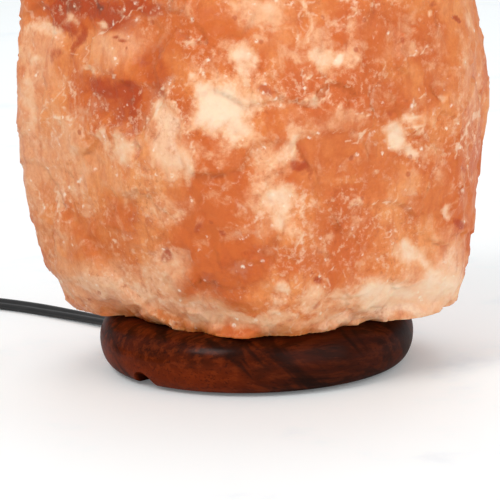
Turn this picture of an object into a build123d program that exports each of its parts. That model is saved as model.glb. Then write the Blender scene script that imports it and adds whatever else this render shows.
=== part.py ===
from build123d import *

import os
from math import copysign, cos, hypot, pi, radians, sin, sqrt, tan

# A lamp made from a lump of rock salt on a turned wooden base. Under it are the lampholder and its
# bulb, and on its cord a dimmer, a coil with a tie and a plug. Millimetres, +Z up. The table is at
# Z = 0, the base's axis is the Z axis and the front looks towards -Y.

os.makedirs("parts", exist_ok=True)

# ---- Driving sizes -------------------------------------------------------------------------------

# Wooden base
base_radius = 60.0
base_height = 21.0
lower_rounding = 6.0  # from the widest radius in to the flat underside
upper_rounding = 10.0  # from the widest radius in to the flat top
base_bore_radius = 22.0
recess_radius = 32.0
recess_depth = 12.0
notch_radius = 5.5
notch_angles = (134.0, 222.0, 352.0)  # the first is the cord's way out

# Felt feet, wood screws and wall plugs: three of each, midway between the notches
felt_thickness = 1.0
felt_radius = 7.0
screw_radius = 2.0
screw_head_radius = 4.2
screw_head_height = 2.4
screw_sink = 0.6  # of the head, above the underside
screw_length = 38.0
wall_plug_radius = 4.0
wall_plug_length = 30.0

# Salt crystal
crystal_width = 180.0
crystal_depth = 154.0
crystal_height = 213.0
crystal_bore_radius = 21.0
crystal_bore_depth = 90.0
bore_tip_height = 6.0
bore_tip_radius = 12.0

# Lampholder
plate_radius = 30.0
plate_thickness = 1.0
wire_hole_radius = 6.0
cover_radius = 19.0
cover_wall = 1.5
cover_floor = 1.0
cover_above_table = 0.8
cover_screw_circle_radius = 14.8
cover_screw_radius = 1.4
small_head_radius = 2.4
small_head_height = 1.4
cover_boss_radius = 3.0
sleeve_radius = 12.0
sleeve_wall = 1.4
sleeve_height = 33.3
sleeve_floor = 2.0
holder_screw_circle_radius = 8.6
holder_screw_radius = 1.3
clip_thickness = 0.6
clip_width = 10.0
clip_foot_radius = 18.2  # of the bend where a clip leaves the plate
clip_waist_radius = 16.8
clip_grip_radius = 19.7
rivet_circle_radius = 15.3
rivet_radius = 1.1
rivet_head_radius = 1.7
rivet_head_height = 0.7
block_top = 2.0  # of the contact block, below the sleeve's rim
chamber_height = 3.8  # of the terminals under the contact block
chamber_radius = 9.4
thread_shell_radius = 6.9
thread_shell_wall = 0.55
thread_shell_height = 19.0
contact_height = 3.2
contact_disc_radius = 3.4
contact_disc_thickness = 0.8
contact_stud_radius = 1.6
terminal_offset = 5.0
terminal_head_radius = 2.2
terminal_head_height = 1.5
terminal_shank_radius = 1.2
terminal_shank_length = 3.4
core_radius = 0.95

# Bulb, with a 12 mm screw cap
bulb_length = 54.0
bulb_radius = 11.0
bulb_neck_radius = 5.1
bulb_glass_wall = 0.7
cap_radius = 5.95
cap_wall = 0.4
cap_thread_depth = 0.4
cap_height = 13.0
cap_turns = 4
tip_height = 1.0
tip_radius = 2.2
insulator_height = 2.0
neck_in_cap = 5.0
stem_height = 12.0
lead_radius = 0.3
lead_spread = 5.0
lead_height = 12.0
filament_radius = 0.2

# Flat twin cord
cord_width = 5.6
cord_thickness = 2.8
exit_height = 4.2
relief_length = 20.0
relief_end_height = 3.4  # it droops a little
relief_flange_width = 10.5
relief_flange_height = 4.4
relief_flange_thickness = 2.0
relief_neck_width = 8.4
relief_neck_height = 4.0

# Dimmer on the cord
dimmer_x = -195.0
dimmer_y = 12.0
dimmer_length = 62.0
dimmer_width = 28.0
dimmer_height = 17.0
dimmer_parting = 8.0  # height of the joint between its shells
dimmer_wall = 1.8
dimmer_corner = 6.0
dimmer_edge = 1.2
dimmer_entry_height = 4.5
stub_length = 6.0
stub_width = 9.0
stub_height = 5.6
dimmer_screw_offset = 25.0
dimmer_screw_radius = 1.3
board_height = 4.0
board_thickness = 1.6
board_width = 22.0
board_length = 40.0
pot_size = 11.0
pot_height = 2.9
wheel_radius = 12.0
wheel_thickness = 4.4
wheel_stands_out = 3.2
wheel_axle_radius = 1.5
wheel_grooves = 24

# Coil of the put-away cord, and its tie
coil_x = -159.0
coil_y = -65.0
coil_radius = 36.0
coil_pitch = 3.6
coil_turns_in = 3
layer_gap = 0.5
coil_above_table = 1.0
tie_width = 6.0
tie_thickness = 0.6
tie_play = 1.1  # beside the bundle
tie_lift = 0.3  # above and below it

# Plug
plug_body_length = 20.0
plug_tail_length = 12.0
plug_width = 25.0
plug_height = 14.0
plug_cord_length = 42.0
blade_length = 17.0
blade_width = 6.35
blade_thickness = 1.5
blade_spacing = 12.7
blade_root = 6.0
blade_hole_radius = 1.6
blade_hole_from_tip = 5.0

# Clearances
clearance = 0.3  # between pieces that move apart
snug = 0.1  # between fixed pieces
contact_gap = 0.05  # between the bulb's tip and its contact

# ---- Levels and places worked out from them -------------------------------------------------------

bottom = (Align.CENTER, Align.CENTER, Align.MIN)
underside_z = felt_thickness
base_top_z = underside_z + base_height
recess_ceiling_z = underside_z + recess_depth
plate_top_z = recess_ceiling_z - clearance
plate_bottom_z = plate_top_z - plate_thickness
exit_angle = notch_angles[0]


def way_plane(angle, along, height):
    """The plane square to a level direction, with local x across it and local y upwards."""
    way = radians(angle)
    return Plane(
        origin=(along * cos(way), along * sin(way), height),
        x_dir=(-sin(way), cos(way), 0),
        z_dir=(cos(way), sin(way), 0),
    )


def exit_point(along, across, height):
    """A point given along the cord's way out and across it."""
    return way_plane(exit_angle, along, height).from_local_coords((across, 0, 0))


def bend_radii(points):
    """The radius of each bend of a cord: as wide as its two straight runs leave room for."""
    radii = []
    for before, here, after in zip(points, points[1:], points[2:]):
        run_in = Vector(*here) - Vector(*before)
        run_out = Vector(*after) - Vector(*here)
        turn = radians(run_in.get_angle(run_out))
        radii.append(0.45 * min(run_in.length, run_out.length) / tan(turn / 2))
    return radii


# ---- Wooden base ----------------------------------------------------------------------------------

belly_z = underside_z + base_height / 2
foot_radius = base_radius - lower_rounding
shoulder_radius = base_radius - upper_rounding
foot_circle_radius = (recess_radius + foot_radius) / 2
foot_angles = []
for index, angle in enumerate(notch_angles):
    following = notch_angles[(index + 1) % len(notch_angles)]
    foot_angles.append(angle + ((following - angle) % 360) / 2)
foot_places = []
for angle in foot_angles:
    x = foot_circle_radius * cos(radians(angle))
    y = foot_circle_radius * sin(radians(angle))
    foot_places.append((x, y, 0))

with BuildPart() as wooden_base:
    with BuildSketch(Plane.XZ):
        with BuildLine():
            Line((0, underside_z), (foot_radius, underside_z))
            EllipticalCenterArc(
                (foot_radius, belly_z), lower_rounding, belly_z - underside_z, start_angle=270, arc_size=90
            )
            EllipticalCenterArc(
                (shoulder_radius, belly_z), upper_rounding, base_top_z - belly_z, start_angle=0, arc_size=90
            )
            Polyline((shoulder_radius, base_top_z), (0, base_top_z), (0, underside_z))
        make_face()
    revolve(axis=Axis.Z)
    with Locations((0, 0, underside_z)):
        Cylinder(recess_radius, recess_depth, align=bottom, mode=Mode.SUBTRACT)
        Cylinder(base_bore_radius, base_height, align=bottom, mode=Mode.SUBTRACT)
    for angle in notch_angles:
        with BuildSketch(way_plane(angle, 0, underside_z)):
            Circle(notch_radius)
        extrude(amount=base_radius + notch_radius, mode=Mode.SUBTRACT)
    with Locations(*foot_places):
        with Locations((0, 0, underside_z)):
            Cylinder(screw_radius + snug, base_height, align=bottom, mode=Mode.SUBTRACT)
            Cylinder(screw_head_radius + snug, screw_sink, align=bottom, mode=Mode.SUBTRACT)
        with Locations((0, 0, underside_z + screw_sink)):
            Cone(
                screw_head_radius + snug,
                screw_radius + snug,
                screw_head_height,
                align=bottom,
                mode=Mode.SUBTRACT,
            )

with BuildPart() as base_screws:
    with Locations(*foot_places):
        with Locations((0, 0, underside_z + screw_sink)):
            Cylinder(screw_radius, screw_length, align=bottom)
            Cone(screw_head_radius, screw_radius, screw_head_height, align=bottom)
            Box(screw_head_radius, 1, 1.2, align=bottom, mode=Mode.SUBTRACT)
            Box(1, screw_head_radius, 1.2, align=bottom, mode=Mode.SUBTRACT)

with BuildPart() as wall_plugs:
    with Locations(*foot_places):
        with Locations((0, 0, base_top_z)):
            Cylinder(wall_plug_radius, wall_plug_length, align=bottom)
            Cylinder(screw_radius + snug, wall_plug_length, align=bottom, mode=Mode.SUBTRACT)

with BuildPart() as felt_feet:
    with Locations(*foot_places):
        Cylinder(felt_radius, felt_thickness, align=bottom)

# ---- Salt crystal ---------------------------------------------------------------------------------

# Each level: its share of the height, then the reach to the left, right, front and back of the
# base's axis, as shares of the width and the depth.
crystal_levels = (
    (0.000, 0.385, 0.419, 0.357, 0.340),
    (0.024, 0.418, 0.437, 0.403, 0.390),
    (0.080, 0.444, 0.458, 0.435, 0.429),
    (0.188, 0.472, 0.473, 0.474, 0.468),
    (0.352, 0.494, 0.504, 0.503, 0.497),
    (0.507, 0.483, 0.486, 0.494, 0.494),
    (0.601, 0.467, 0.467, 0.474, 0.481),
    (0.695, 0.428, 0.417, 0.429, 0.442),
    (0.826, 0.344, 0.322, 0.344, 0.370),
    (0.911, 0.233, 0.200, 0.234, 0.266),
    (0.972, 0.122, 0.078, 0.110, 0.143),
    (1.000, 0.056, 0.022, 0.039, 0.065),
)
# How full each quarter of the outline is, from the back right on, anticlockwise: 2 makes it round
# and a smaller number flattens it.
quarter_fullness = (2.3, 2.1, 1.4, 1.9)
# The hewn corners in each quarter, in degrees from its start. Each level turns them a little the
# other way, so the faces between two levels are uneven.
hewn_corners = (0, 24, 47, 71)
corner_shift = 5.0


def hewn_outline(left, right, front, back, shift):
    """The corners of a level's outline, anticlockwise from the right."""
    corners = []
    for quarter, fullness in enumerate(quarter_fullness):
        for angle in hewn_corners:
            if angle:
                angle += shift
            bearing = radians(90 * quarter + angle)
            reach_x = right if quarter in (0, 3) else left
            reach_y = back if quarter in (0, 1) else front
            x, y = cos(bearing), sin(bearing)
            corners.append(
                (
                    copysign(reach_x * abs(x) ** (2 / fullness), x),
                    copysign(reach_y * abs(y) ** (2 / fullness), y),
                )
            )
    return corners


with BuildPart() as salt_crystal:
    for level, (share, left, right, front, back) in enumerate(crystal_levels):
        with BuildSketch(Plane.XY.offset(base_top_z + share * crystal_height)):
            with BuildLine():
                corners = hewn_outline(
                    left * crystal_width,
                    right * crystal_width,
                    front * crystal_depth,
                    back * crystal_depth,
                    corner_shift if level % 2 else -corner_shift,
                )
                Polyline(*corners, close=True)
            make_face()
    loft(ruled=True)
    with Locations((0, 0, base_top_z)):
        Cylinder(crystal_bore_radius, crystal_bore_depth, align=bottom, mode=Mode.SUBTRACT)
        with Locations(*foot_places):
            Cylinder(wall_plug_radius + snug, wall_plug_length, align=bottom, mode=Mode.SUBTRACT)
            Cylinder(screw_radius + snug, screw_length, align=bottom, mode=Mode.SUBTRACT)
    with Locations((0, 0, base_top_z + crystal_bore_depth)):
        Cone(crystal_bore_radius, bore_tip_radius, bore_tip_height, align=bottom, mode=Mode.SUBTRACT)

# ---- Lampholder: plate, clips and rivets ----------------------------------------------------------

with BuildPart() as clip_plate:
    with Locations((0, 0, plate_bottom_z)):
        Cylinder(plate_radius, plate_thickness, align=bottom)
        Cylinder(wire_hole_radius, plate_thickness, align=bottom, mode=Mode.SUBTRACT)
        with PolarLocations(holder_screw_circle_radius, 2, start_angle=90):
            Cylinder(holder_screw_radius + snug, plate_thickness, align=bottom, mode=Mode.SUBTRACT)
        with PolarLocations(rivet_circle_radius, 2):
            Cylinder(rivet_radius + snug, plate_thickness, align=bottom, mode=Mode.SUBTRACT)
        with PolarLocations(cover_screw_circle_radius, 2, start_angle=exit_angle + 90):
            Cylinder(cover_screw_radius + snug, plate_thickness, align=bottom, mode=Mode.SUBTRACT)

clip_z = plate_top_z + clip_thickness / 2
with BuildPart() as spring_clips:
    with BuildSketch(Plane.XZ):
        with BuildLine() as clip_line:
            Polyline(
                (rivet_circle_radius - 2.4, clip_z),
                (clip_foot_radius, clip_z),
                (clip_waist_radius, clip_z + 21),
                (clip_grip_radius, clip_z + 36),
                (clip_grip_radius, clip_z + 40),
                (clip_waist_radius - 1.5, clip_z + 49),
            )
        trace(clip_line.line, line_width=clip_thickness)
    extrude(amount=clip_width / 2, both=True)
    with Locations((rivet_circle_radius, 0, plate_top_z)):
        Cylinder(rivet_radius + snug, clip_thickness, align=bottom, mode=Mode.SUBTRACT)
    mirror(about=Plane.YZ)

with BuildPart() as clip_rivets:
    with PolarLocations(rivet_circle_radius, 2):
        with Locations((0, 0, plate_bottom_z - rivet_head_height)):
            Cylinder(rivet_head_radius, rivet_head_height, align=bottom)
        with Locations((0, 0, plate_bottom_z)):
            Cylinder(rivet_radius, plate_thickness + clip_thickness, align=bottom)
        with Locations((0, 0, plate_top_z + clip_thickness)):
            Cylinder(rivet_head_radius, rivet_head_height, align=bottom)

# ---- Cover under the plate, with the cord's relief ------------------------------------------------

cover_floor_z = cover_above_table + cover_floor
cover_inner_radius = cover_radius - cover_wall
relief_shoulder = sqrt(cover_inner_radius**2 - (relief_flange_width / 2) ** 2) - snug
relief_inner = relief_shoulder - relief_flange_thickness
relief_outer = relief_shoulder + relief_length

with BuildPart() as bottom_cover:
    with Locations((0, 0, cover_above_table)):
        Cylinder(cover_radius, plate_bottom_z - cover_above_table, align=bottom)
    fillet(bottom_cover.edges().group_by(Axis.Z)[0], radius=cover_wall / 2)
    with Locations((0, 0, cover_floor_z)):
        Cylinder(cover_inner_radius, plate_bottom_z - cover_floor_z, align=bottom, mode=Mode.SUBTRACT)
    with PolarLocations(cover_screw_circle_radius, 2, start_angle=exit_angle + 90):
        with Locations((0, 0, cover_above_table)):
            Cylinder(cover_boss_radius, plate_bottom_z - cover_above_table, align=bottom)
            Cylinder(cover_screw_radius + snug, plate_bottom_z, align=bottom, mode=Mode.SUBTRACT)
            Cylinder(small_head_radius + snug, small_head_height + snug, align=bottom, mode=Mode.SUBTRACT)
    with BuildSketch(way_plane(exit_angle, relief_shoulder - 2, exit_height)):
        RectangleRounded(relief_neck_width + 2 * snug, relief_neck_height + 2 * snug, 1.2)
    extrude(amount=cover_radius, mode=Mode.SUBTRACT)
    # Room for the heads of the clip rivets, where a narrower cover's rim would meet them
    with PolarLocations(rivet_circle_radius, 2):
        with Locations((0, 0, plate_bottom_z - rivet_head_height - snug)):
            Cylinder(rivet_head_radius + snug, rivet_head_height + snug, align=bottom, mode=Mode.SUBTRACT)

with BuildPart() as cover_screws:
    with PolarLocations(cover_screw_circle_radius, 2, start_angle=exit_angle + 90):
        with Locations((0, 0, cover_above_table + snug)):
            Cylinder(small_head_radius, small_head_height, align=bottom)
            Cylinder(cover_screw_radius, plate_top_z - cover_above_table - snug, align=bottom)
            Box(2 * small_head_radius, 0.8, 0.7, align=bottom, mode=Mode.SUBTRACT)

with BuildPart() as cord_relief:
    with BuildSketch(way_plane(exit_angle, relief_inner, exit_height)):
        RectangleRounded(relief_flange_width, relief_flange_height, 0.8)
    extrude(amount=relief_flange_thickness)
    with BuildSketch(way_plane(exit_angle, relief_shoulder, exit_height)):
        RectangleRounded(relief_neck_width, relief_neck_height, 1.2)
    with BuildSketch(way_plane(exit_angle, relief_outer, relief_end_height)):
        RectangleRounded(cord_width + 1.2, cord_thickness + 0.6, 1.2)
    loft()

# ---- Lampholder: sleeve, block, contacts and wires ------------------------------------------------

sleeve_inner_radius = sleeve_radius - sleeve_wall
chamber_floor_z = plate_top_z + sleeve_floor
block_bottom_z = chamber_floor_z + chamber_height
block_top_z = plate_top_z + sleeve_height - block_top
cavity_floor_z = block_top_z - 1 - thread_shell_height

with BuildPart() as holder_sleeve:
    with Locations((0, 0, plate_top_z)):
        Cylinder(sleeve_radius, sleeve_height, align=bottom)
        Cylinder(wire_hole_radius, sleeve_height, align=bottom, mode=Mode.SUBTRACT)
        with PolarLocations(holder_screw_circle_radius, 2, start_angle=90):
            Cylinder(holder_screw_radius + snug, sleeve_floor, align=bottom, mode=Mode.SUBTRACT)
    with Locations((0, 0, chamber_floor_z)):
        Cylinder(sleeve_inner_radius, sleeve_height, align=bottom, mode=Mode.SUBTRACT)

with BuildPart() as holder_screws:
    with PolarLocations(holder_screw_circle_radius, 2, start_angle=90):
        with Locations((0, 0, plate_bottom_z - small_head_height)):
            Cylinder(small_head_radius, small_head_height, align=bottom)
            Box(2 * small_head_radius, 0.8, 0.7, align=bottom, mode=Mode.SUBTRACT)
        with Locations((0, 0, plate_bottom_z)):
            Cylinder(holder_screw_radius, plate_thickness + sleeve_floor - snug, align=bottom)

terminal_places = [exit_point(0, side * terminal_offset, block_bottom_z) for side in (1, -1)]
with BuildPart() as contact_block:
    with Locations((0, 0, chamber_floor_z)):
        Cylinder(sleeve_inner_radius - snug, block_top_z - chamber_floor_z, align=bottom)
        Cylinder(chamber_radius, chamber_height, align=bottom, mode=Mode.SUBTRACT)
    with Locations((0, 0, cavity_floor_z)):
        Cylinder(thread_shell_radius + snug, block_top_z - cavity_floor_z, align=bottom, mode=Mode.SUBTRACT)
    with Locations(*terminal_places):
        Cylinder(
            terminal_shank_radius + snug, terminal_shank_length + snug, align=bottom, mode=Mode.SUBTRACT
        )

with BuildPart() as holder_thread:
    with Locations((0, 0, cavity_floor_z)):
        Cylinder(thread_shell_radius, thread_shell_height, align=bottom)
        Cylinder(
            thread_shell_radius - thread_shell_wall, thread_shell_height, align=bottom, mode=Mode.SUBTRACT
        )

with BuildPart() as centre_contact:
    with Locations((0, 0, cavity_floor_z)):
        Cylinder(contact_disc_radius, contact_disc_thickness, align=bottom)
        Cylinder(contact_stud_radius, contact_height, align=bottom)

with BuildPart() as terminal_screws:
    with Locations(*terminal_places):
        Cylinder(terminal_shank_radius, terminal_shank_length, align=bottom)
        with Locations((0, 0, -terminal_head_height)):
            Cylinder(terminal_head_radius, terminal_head_height, align=bottom)

terminal_z = block_bottom_z - terminal_head_height
with BuildPart() as core_wires:
    for side in (1, -1):
        wire_points = [
            exit_point(relief_inner, side * 1.4, exit_height),
            exit_point(7, side * 1.4, exit_height),
            exit_point(2, side * 2.4, 8),
            exit_point(0.4, side * 3.2, plate_top_z + 0.8),
            exit_point(0, side * terminal_offset, terminal_z - 1.4),
            exit_point(0, side * terminal_offset, terminal_z),
        ]
        with BuildLine() as wire_line:
            FilletPolyline(*wire_points, radius=bend_radii(wire_points))
        with BuildSketch(way_plane(exit_angle + 180, -relief_inner, exit_height)):
            with Locations((-side * 1.4, 0)):
                Circle(core_radius)
        sweep(path=wire_line.line)

# ---- Bulb -----------------------------------------------------------------------------------------

bulb_z = cavity_floor_z + contact_height + contact_gap
insulator_z = bulb_z + tip_height
cap_z = insulator_z + insulator_height
cap_top_z = cap_z + cap_height
bulb_top_z = bulb_z + bulb_length
glass_z = cap_top_z - neck_in_cap
widest_z = cap_top_z + 0.42 * (bulb_top_z - cap_top_z)
cap_root_radius = cap_radius - cap_thread_depth

with BuildPart() as bulb_tip:
    with Locations((0, 0, bulb_z)):
        Cylinder(tip_radius, tip_height, align=bottom)
    fillet(bulb_tip.edges().group_by(Axis.Z)[0], radius=0.6)

with BuildPart() as bulb_insulator:
    with Locations((0, 0, insulator_z)):
        Cone(tip_radius + 1, cap_root_radius, insulator_height, align=bottom)

with BuildPart() as bulb_cap:
    with BuildSketch(Plane.XZ):
        turn_height = (cap_height - 3) / cap_turns
        cap_points = [(cap_root_radius, cap_z)]
        for turn in range(cap_turns):
            turn_z = cap_z + 1 + turn * turn_height
            cap_points.append((cap_root_radius, turn_z))
            cap_points.append((cap_radius, turn_z + turn_height / 2))
        cap_points.append((cap_root_radius, cap_top_z - 2))
        cap_points.append((cap_root_radius, cap_top_z))
        with BuildLine():
            Polyline(
                *cap_points,
                (cap_root_radius - cap_wall, cap_top_z),
                (cap_root_radius - cap_wall, cap_z + cap_wall),
                (tip_radius, cap_z + cap_wall),
                (tip_radius, cap_z),
                close=True,
            )
        make_face()
    revolve(axis=Axis.Z)

with BuildPart() as bulb_glass:
    with BuildSketch(Plane.XZ):
        for wall, how in ((0, Mode.ADD), (bulb_glass_wall, Mode.SUBTRACT)):
            neck = bulb_neck_radius - wall
            widest = bulb_radius - wall
            top = bulb_top_z - wall
            with BuildLine():
                Line((0, glass_z), (neck, glass_z))
                Line((neck, glass_z), (neck, cap_top_z))
                Spline((neck, cap_top_z), (widest, widest_z), tangents=[(0, 1), (0, 1)])
                Spline((widest, widest_z), (0, top), tangents=[(0, 1), (-1, 0)])
                Line((0, top), (0, glass_z))
            make_face(mode=how)
    revolve(axis=Axis.Z)

neck_inner_radius = bulb_neck_radius - bulb_glass_wall
stem_top_z = glass_z + stem_height
with BuildPart() as bulb_stem:
    with Locations((0, 0, glass_z)):
        Cone(neck_inner_radius - snug, 2, stem_height / 3, align=bottom)
        Cylinder(2, stem_height, align=bottom)

lead_top_z = stem_top_z + lead_height
with BuildPart() as bulb_leads:
    for side in (1, -1):
        lead_points = [
            (side, 0, stem_top_z),
            (side, 0, stem_top_z + 2),
            (side * lead_spread, 0, lead_top_z - 2),
            (side * lead_spread, 0, lead_top_z),
        ]
        with BuildLine() as lead_line:
            FilletPolyline(*lead_points, radius=bend_radii(lead_points))
        with BuildSketch(Plane.XY.offset(stem_top_z)):
            with Locations((side, 0)):
                Circle(lead_radius)
        sweep(path=lead_line.line)

with BuildPart() as bulb_filament:
    filament_points = [
        (-lead_spread, 0, lead_top_z),
        (-lead_spread, 0, lead_top_z + 1.5),
        (-lead_spread / 2, 3, lead_top_z + 2.5),
        (lead_spread / 2, 3, lead_top_z + 2.5),
        (lead_spread, 0, lead_top_z + 1.5),
        (lead_spread, 0, lead_top_z),
    ]
    with BuildLine() as filament_line:
        FilletPolyline(*filament_points, radius=bend_radii(filament_points))
    with BuildSketch(Plane.XY.offset(lead_top_z)):
        with Locations((-lead_spread, 0)):
            Circle(filament_radius)
    sweep(path=filament_line.line)

# ---- Cord from the lamp to the dimmer -------------------------------------------------------------

dimmer_back_y = dimmer_y + dimmer_length / 2 + stub_length
dimmer_front_y = dimmer_y - dimmer_length / 2 - stub_length
lamp_cord_points = [
    exit_point(relief_outer, 0, relief_end_height),
    exit_point(41, 0, relief_end_height),
    exit_point(56, 0, 2.8),
    exit_point(76, 0, 2.3),
    (-75, 75.6, 2.2),
    (-98, 95, 2.2),
    (-124, 110, 2.2),
    (-150, 116, 2.2),
    (-173, 110, 2.2),
    (-189, 94, 2.4),
    (dimmer_x, 74, 3.2),
    (dimmer_x, dimmer_back_y + 9, dimmer_entry_height),
    (dimmer_x, dimmer_back_y, dimmer_entry_height),
]
with BuildPart() as lamp_cord:
    with BuildLine() as lamp_cord_line:
        FilletPolyline(*lamp_cord_points, radius=bend_radii(lamp_cord_points))
    with BuildSketch(way_plane(exit_angle, relief_outer, relief_end_height)):
        SlotOverall(cord_width, cord_thickness)
    sweep(path=lamp_cord_line.line)

# ---- Dimmer ---------------------------------------------------------------------------------------

inner_width = dimmer_width - 2 * dimmer_wall
inner_length = dimmer_length - 2 * dimmer_wall
wheel_x = dimmer_x + dimmer_width / 2 + wheel_stands_out - wheel_radius
wheel_z = board_height + board_thickness + pot_height + clearance
dimmer_screw_places = [(dimmer_x, dimmer_y + side * dimmer_screw_offset, 0) for side in (1, -1)]

with BuildPart() as dimmer_lower:
    with BuildSketch():
        with Locations((dimmer_x, dimmer_y)):
            RectangleRounded(dimmer_width, dimmer_length, dimmer_corner)
    extrude(amount=dimmer_parting)
    fillet(dimmer_lower.faces().sort_by(Axis.Z)[0].edges(), radius=dimmer_edge)
    with BuildSketch(Plane.XY.offset(dimmer_wall)):
        with Locations((dimmer_x, dimmer_y)):
            RectangleRounded(inner_width, inner_length, dimmer_corner - dimmer_wall)
    extrude(amount=dimmer_parting, mode=Mode.SUBTRACT)
    with Locations((dimmer_x, dimmer_y, dimmer_wall)):
        with GridLocations(board_width - 5, board_length - 5, 2, 2):
            Cylinder(1.5, board_height - dimmer_wall, align=bottom)
    with Locations(*dimmer_screw_places):
        Cylinder(cover_boss_radius + 0.4, dimmer_parting, align=bottom)
        Cylinder(dimmer_screw_radius + snug, dimmer_parting, align=bottom, mode=Mode.SUBTRACT)
        Cylinder(small_head_radius + snug, small_head_height + 2 * snug, align=bottom, mode=Mode.SUBTRACT)
    for end, heading in ((dimmer_length / 2, 1), (-dimmer_length / 2, -1)):
        stub_plane = Plane(
            origin=(dimmer_x, dimmer_y + end - heading * dimmer_wall, dimmer_entry_height),
            x_dir=(-heading, 0, 0),
            z_dir=(0, heading, 0),
        )
        with BuildSketch(stub_plane):
            RectangleRounded(stub_width + 2, stub_height, 1.6)
        with BuildSketch(stub_plane.offset(dimmer_wall + stub_length)):
            RectangleRounded(stub_width - 1, stub_height - 1, 1.6)
        loft()

with BuildPart() as dimmer_upper:
    with BuildSketch(Plane.XY.offset(dimmer_parting)):
        with Locations((dimmer_x, dimmer_y)):
            RectangleRounded(dimmer_width, dimmer_length, dimmer_corner)
    extrude(amount=dimmer_height - dimmer_parting)
    fillet(dimmer_upper.faces().sort_by(Axis.Z)[-1].edges(), radius=2 * dimmer_edge)
    with BuildSketch(Plane.XY.offset(dimmer_parting)):
        with Locations((dimmer_x, dimmer_y)):
            RectangleRounded(inner_width, inner_length, dimmer_corner - dimmer_wall)
    extrude(amount=dimmer_height - dimmer_parting - dimmer_wall, mode=Mode.SUBTRACT)
    with Locations(*dimmer_screw_places):
        with Locations((0, 0, dimmer_parting)):
            boss_height = dimmer_height - dimmer_parting - dimmer_wall
            Cylinder(cover_boss_radius, boss_height, align=bottom)
            Cylinder(dimmer_screw_radius + snug, boss_height - 1, align=bottom, mode=Mode.SUBTRACT)
    with Locations((wheel_x, dimmer_y, wheel_z - clearance)):
        Cylinder(
            wheel_radius + clearance, wheel_thickness + 2 * clearance, align=bottom, mode=Mode.SUBTRACT
        )

with BuildPart() as dimmer_board:
    with Locations((dimmer_x, dimmer_y, board_height)):
        Box(board_width, board_length, board_thickness, align=bottom)
    with Locations((dimmer_x, dimmer_y, board_height + board_thickness)):
        with Locations((-3, -board_length / 2 + 3.2, 0)):
            Box(12, 5, 6, align=bottom)
        with Locations((2, board_length / 2 - 2.6, 0)):
            Box(4.6, 3.6, 4.8, align=bottom)

with BuildPart() as dimmer_pot:
    with Locations((wheel_x, dimmer_y, board_height + board_thickness)):
        Box(pot_size, pot_size, pot_height, align=bottom)
        Cylinder(wheel_axle_radius + clearance, pot_height, align=bottom, mode=Mode.SUBTRACT)

with BuildPart() as dimmer_wheel:
    with Locations((wheel_x, dimmer_y, wheel_z)):
        Cylinder(wheel_radius, wheel_thickness, align=bottom)
        with PolarLocations(wheel_radius, wheel_grooves):
            Cylinder(0.5, wheel_thickness, align=bottom, mode=Mode.SUBTRACT)
        Cylinder(wheel_axle_radius + 1.5, wheel_thickness + 1, align=bottom)
    with Locations((wheel_x, dimmer_y, wheel_z - pot_height + 0.2)):
        Cylinder(wheel_axle_radius, pot_height, align=bottom)

with BuildPart() as dimmer_screws:
    with Locations(*dimmer_screw_places):
        with Locations((0, 0, 2 * snug)):
            Cylinder(small_head_radius, small_head_height, align=bottom)
            Cylinder(dimmer_screw_radius, dimmer_height - dimmer_wall - 2, align=bottom)
            Box(2 * small_head_radius, 0.8, 0.7, align=bottom, mode=Mode.SUBTRACT)

# ---- Coil of the put-away cord --------------------------------------------------------------------

half_pitch = coil_pitch / 2
half_turns = 2 * coil_turns_in
layer_step = cord_width + layer_gap
coil_low_z = coil_above_table + cord_width / 2
coil_high_z = coil_low_z + layer_step

# Half turns in on the lower layer: each is tangent to the one before and half a pitch tighter
coil_arcs = []
side = -1
edge = coil_x - coil_radius
for turn in range(half_turns):
    radius = coil_radius - turn * half_pitch
    coil_arcs.append((edge - side * radius, radius, side, coil_low_z))
    edge -= 2 * side * radius
    side = -side
climb_radius = abs(edge - coil_x)

with BuildPart() as cord_coil:
    with BuildLine() as coil_line:
        Line(
            (coil_x - coil_radius, coil_y + cord_width, coil_low_z),
            (coil_x - coil_radius, coil_y, coil_low_z),
        )
        for centre, radius, side, height in coil_arcs:
            CenterArc((centre, coil_y, height), radius, start_angle=180 if side < 0 else 0, arc_size=180)
        # The climb: a half circle in a tilted plane, level at both its ends
        ThreePointArc(
            (coil_x - climb_radius, coil_y, coil_low_z),
            (coil_x, coil_y - hypot(climb_radius, layer_step / 2), coil_low_z + layer_step / 2),
            (coil_x + climb_radius, coil_y, coil_high_z),
        )
        # Half turns out again on the upper layer, the mirror image of those below
        for centre, radius, side, height in reversed(coil_arcs):
            CenterArc(
                (2 * coil_x - centre, coil_y, coil_high_z),
                radius,
                start_angle=180 if side < 0 else 0,
                arc_size=180,
            )
        Line(
            (coil_x + coil_radius, coil_y, coil_high_z),
            (coil_x + coil_radius, coil_y + cord_width, coil_high_z),
        )
    coil_start = Plane(
        origin=(coil_x - coil_radius, coil_y + cord_width, coil_low_z), x_dir=(0, 0, 1), z_dir=(0, -1, 0)
    )
    with BuildSketch(coil_start):
        SlotOverall(cord_width, cord_thickness)
    sweep(path=coil_line.wire())

coil_points = [coil_line.wire().position_at(step / 700) for step in range(701)]
coil_length = coil_line.wire().length
coil_gap = coil_pitch
for first in range(0, 701, 2):
    for second in range(first + 30, 701, 2):
        apart = coil_points[second] - coil_points[first]
        drop = max(0, abs(apart.Z) - (cord_width - cord_thickness))
        coil_gap = min(coil_gap, hypot(apart.X, apart.Y, drop) - cord_thickness)

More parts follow.
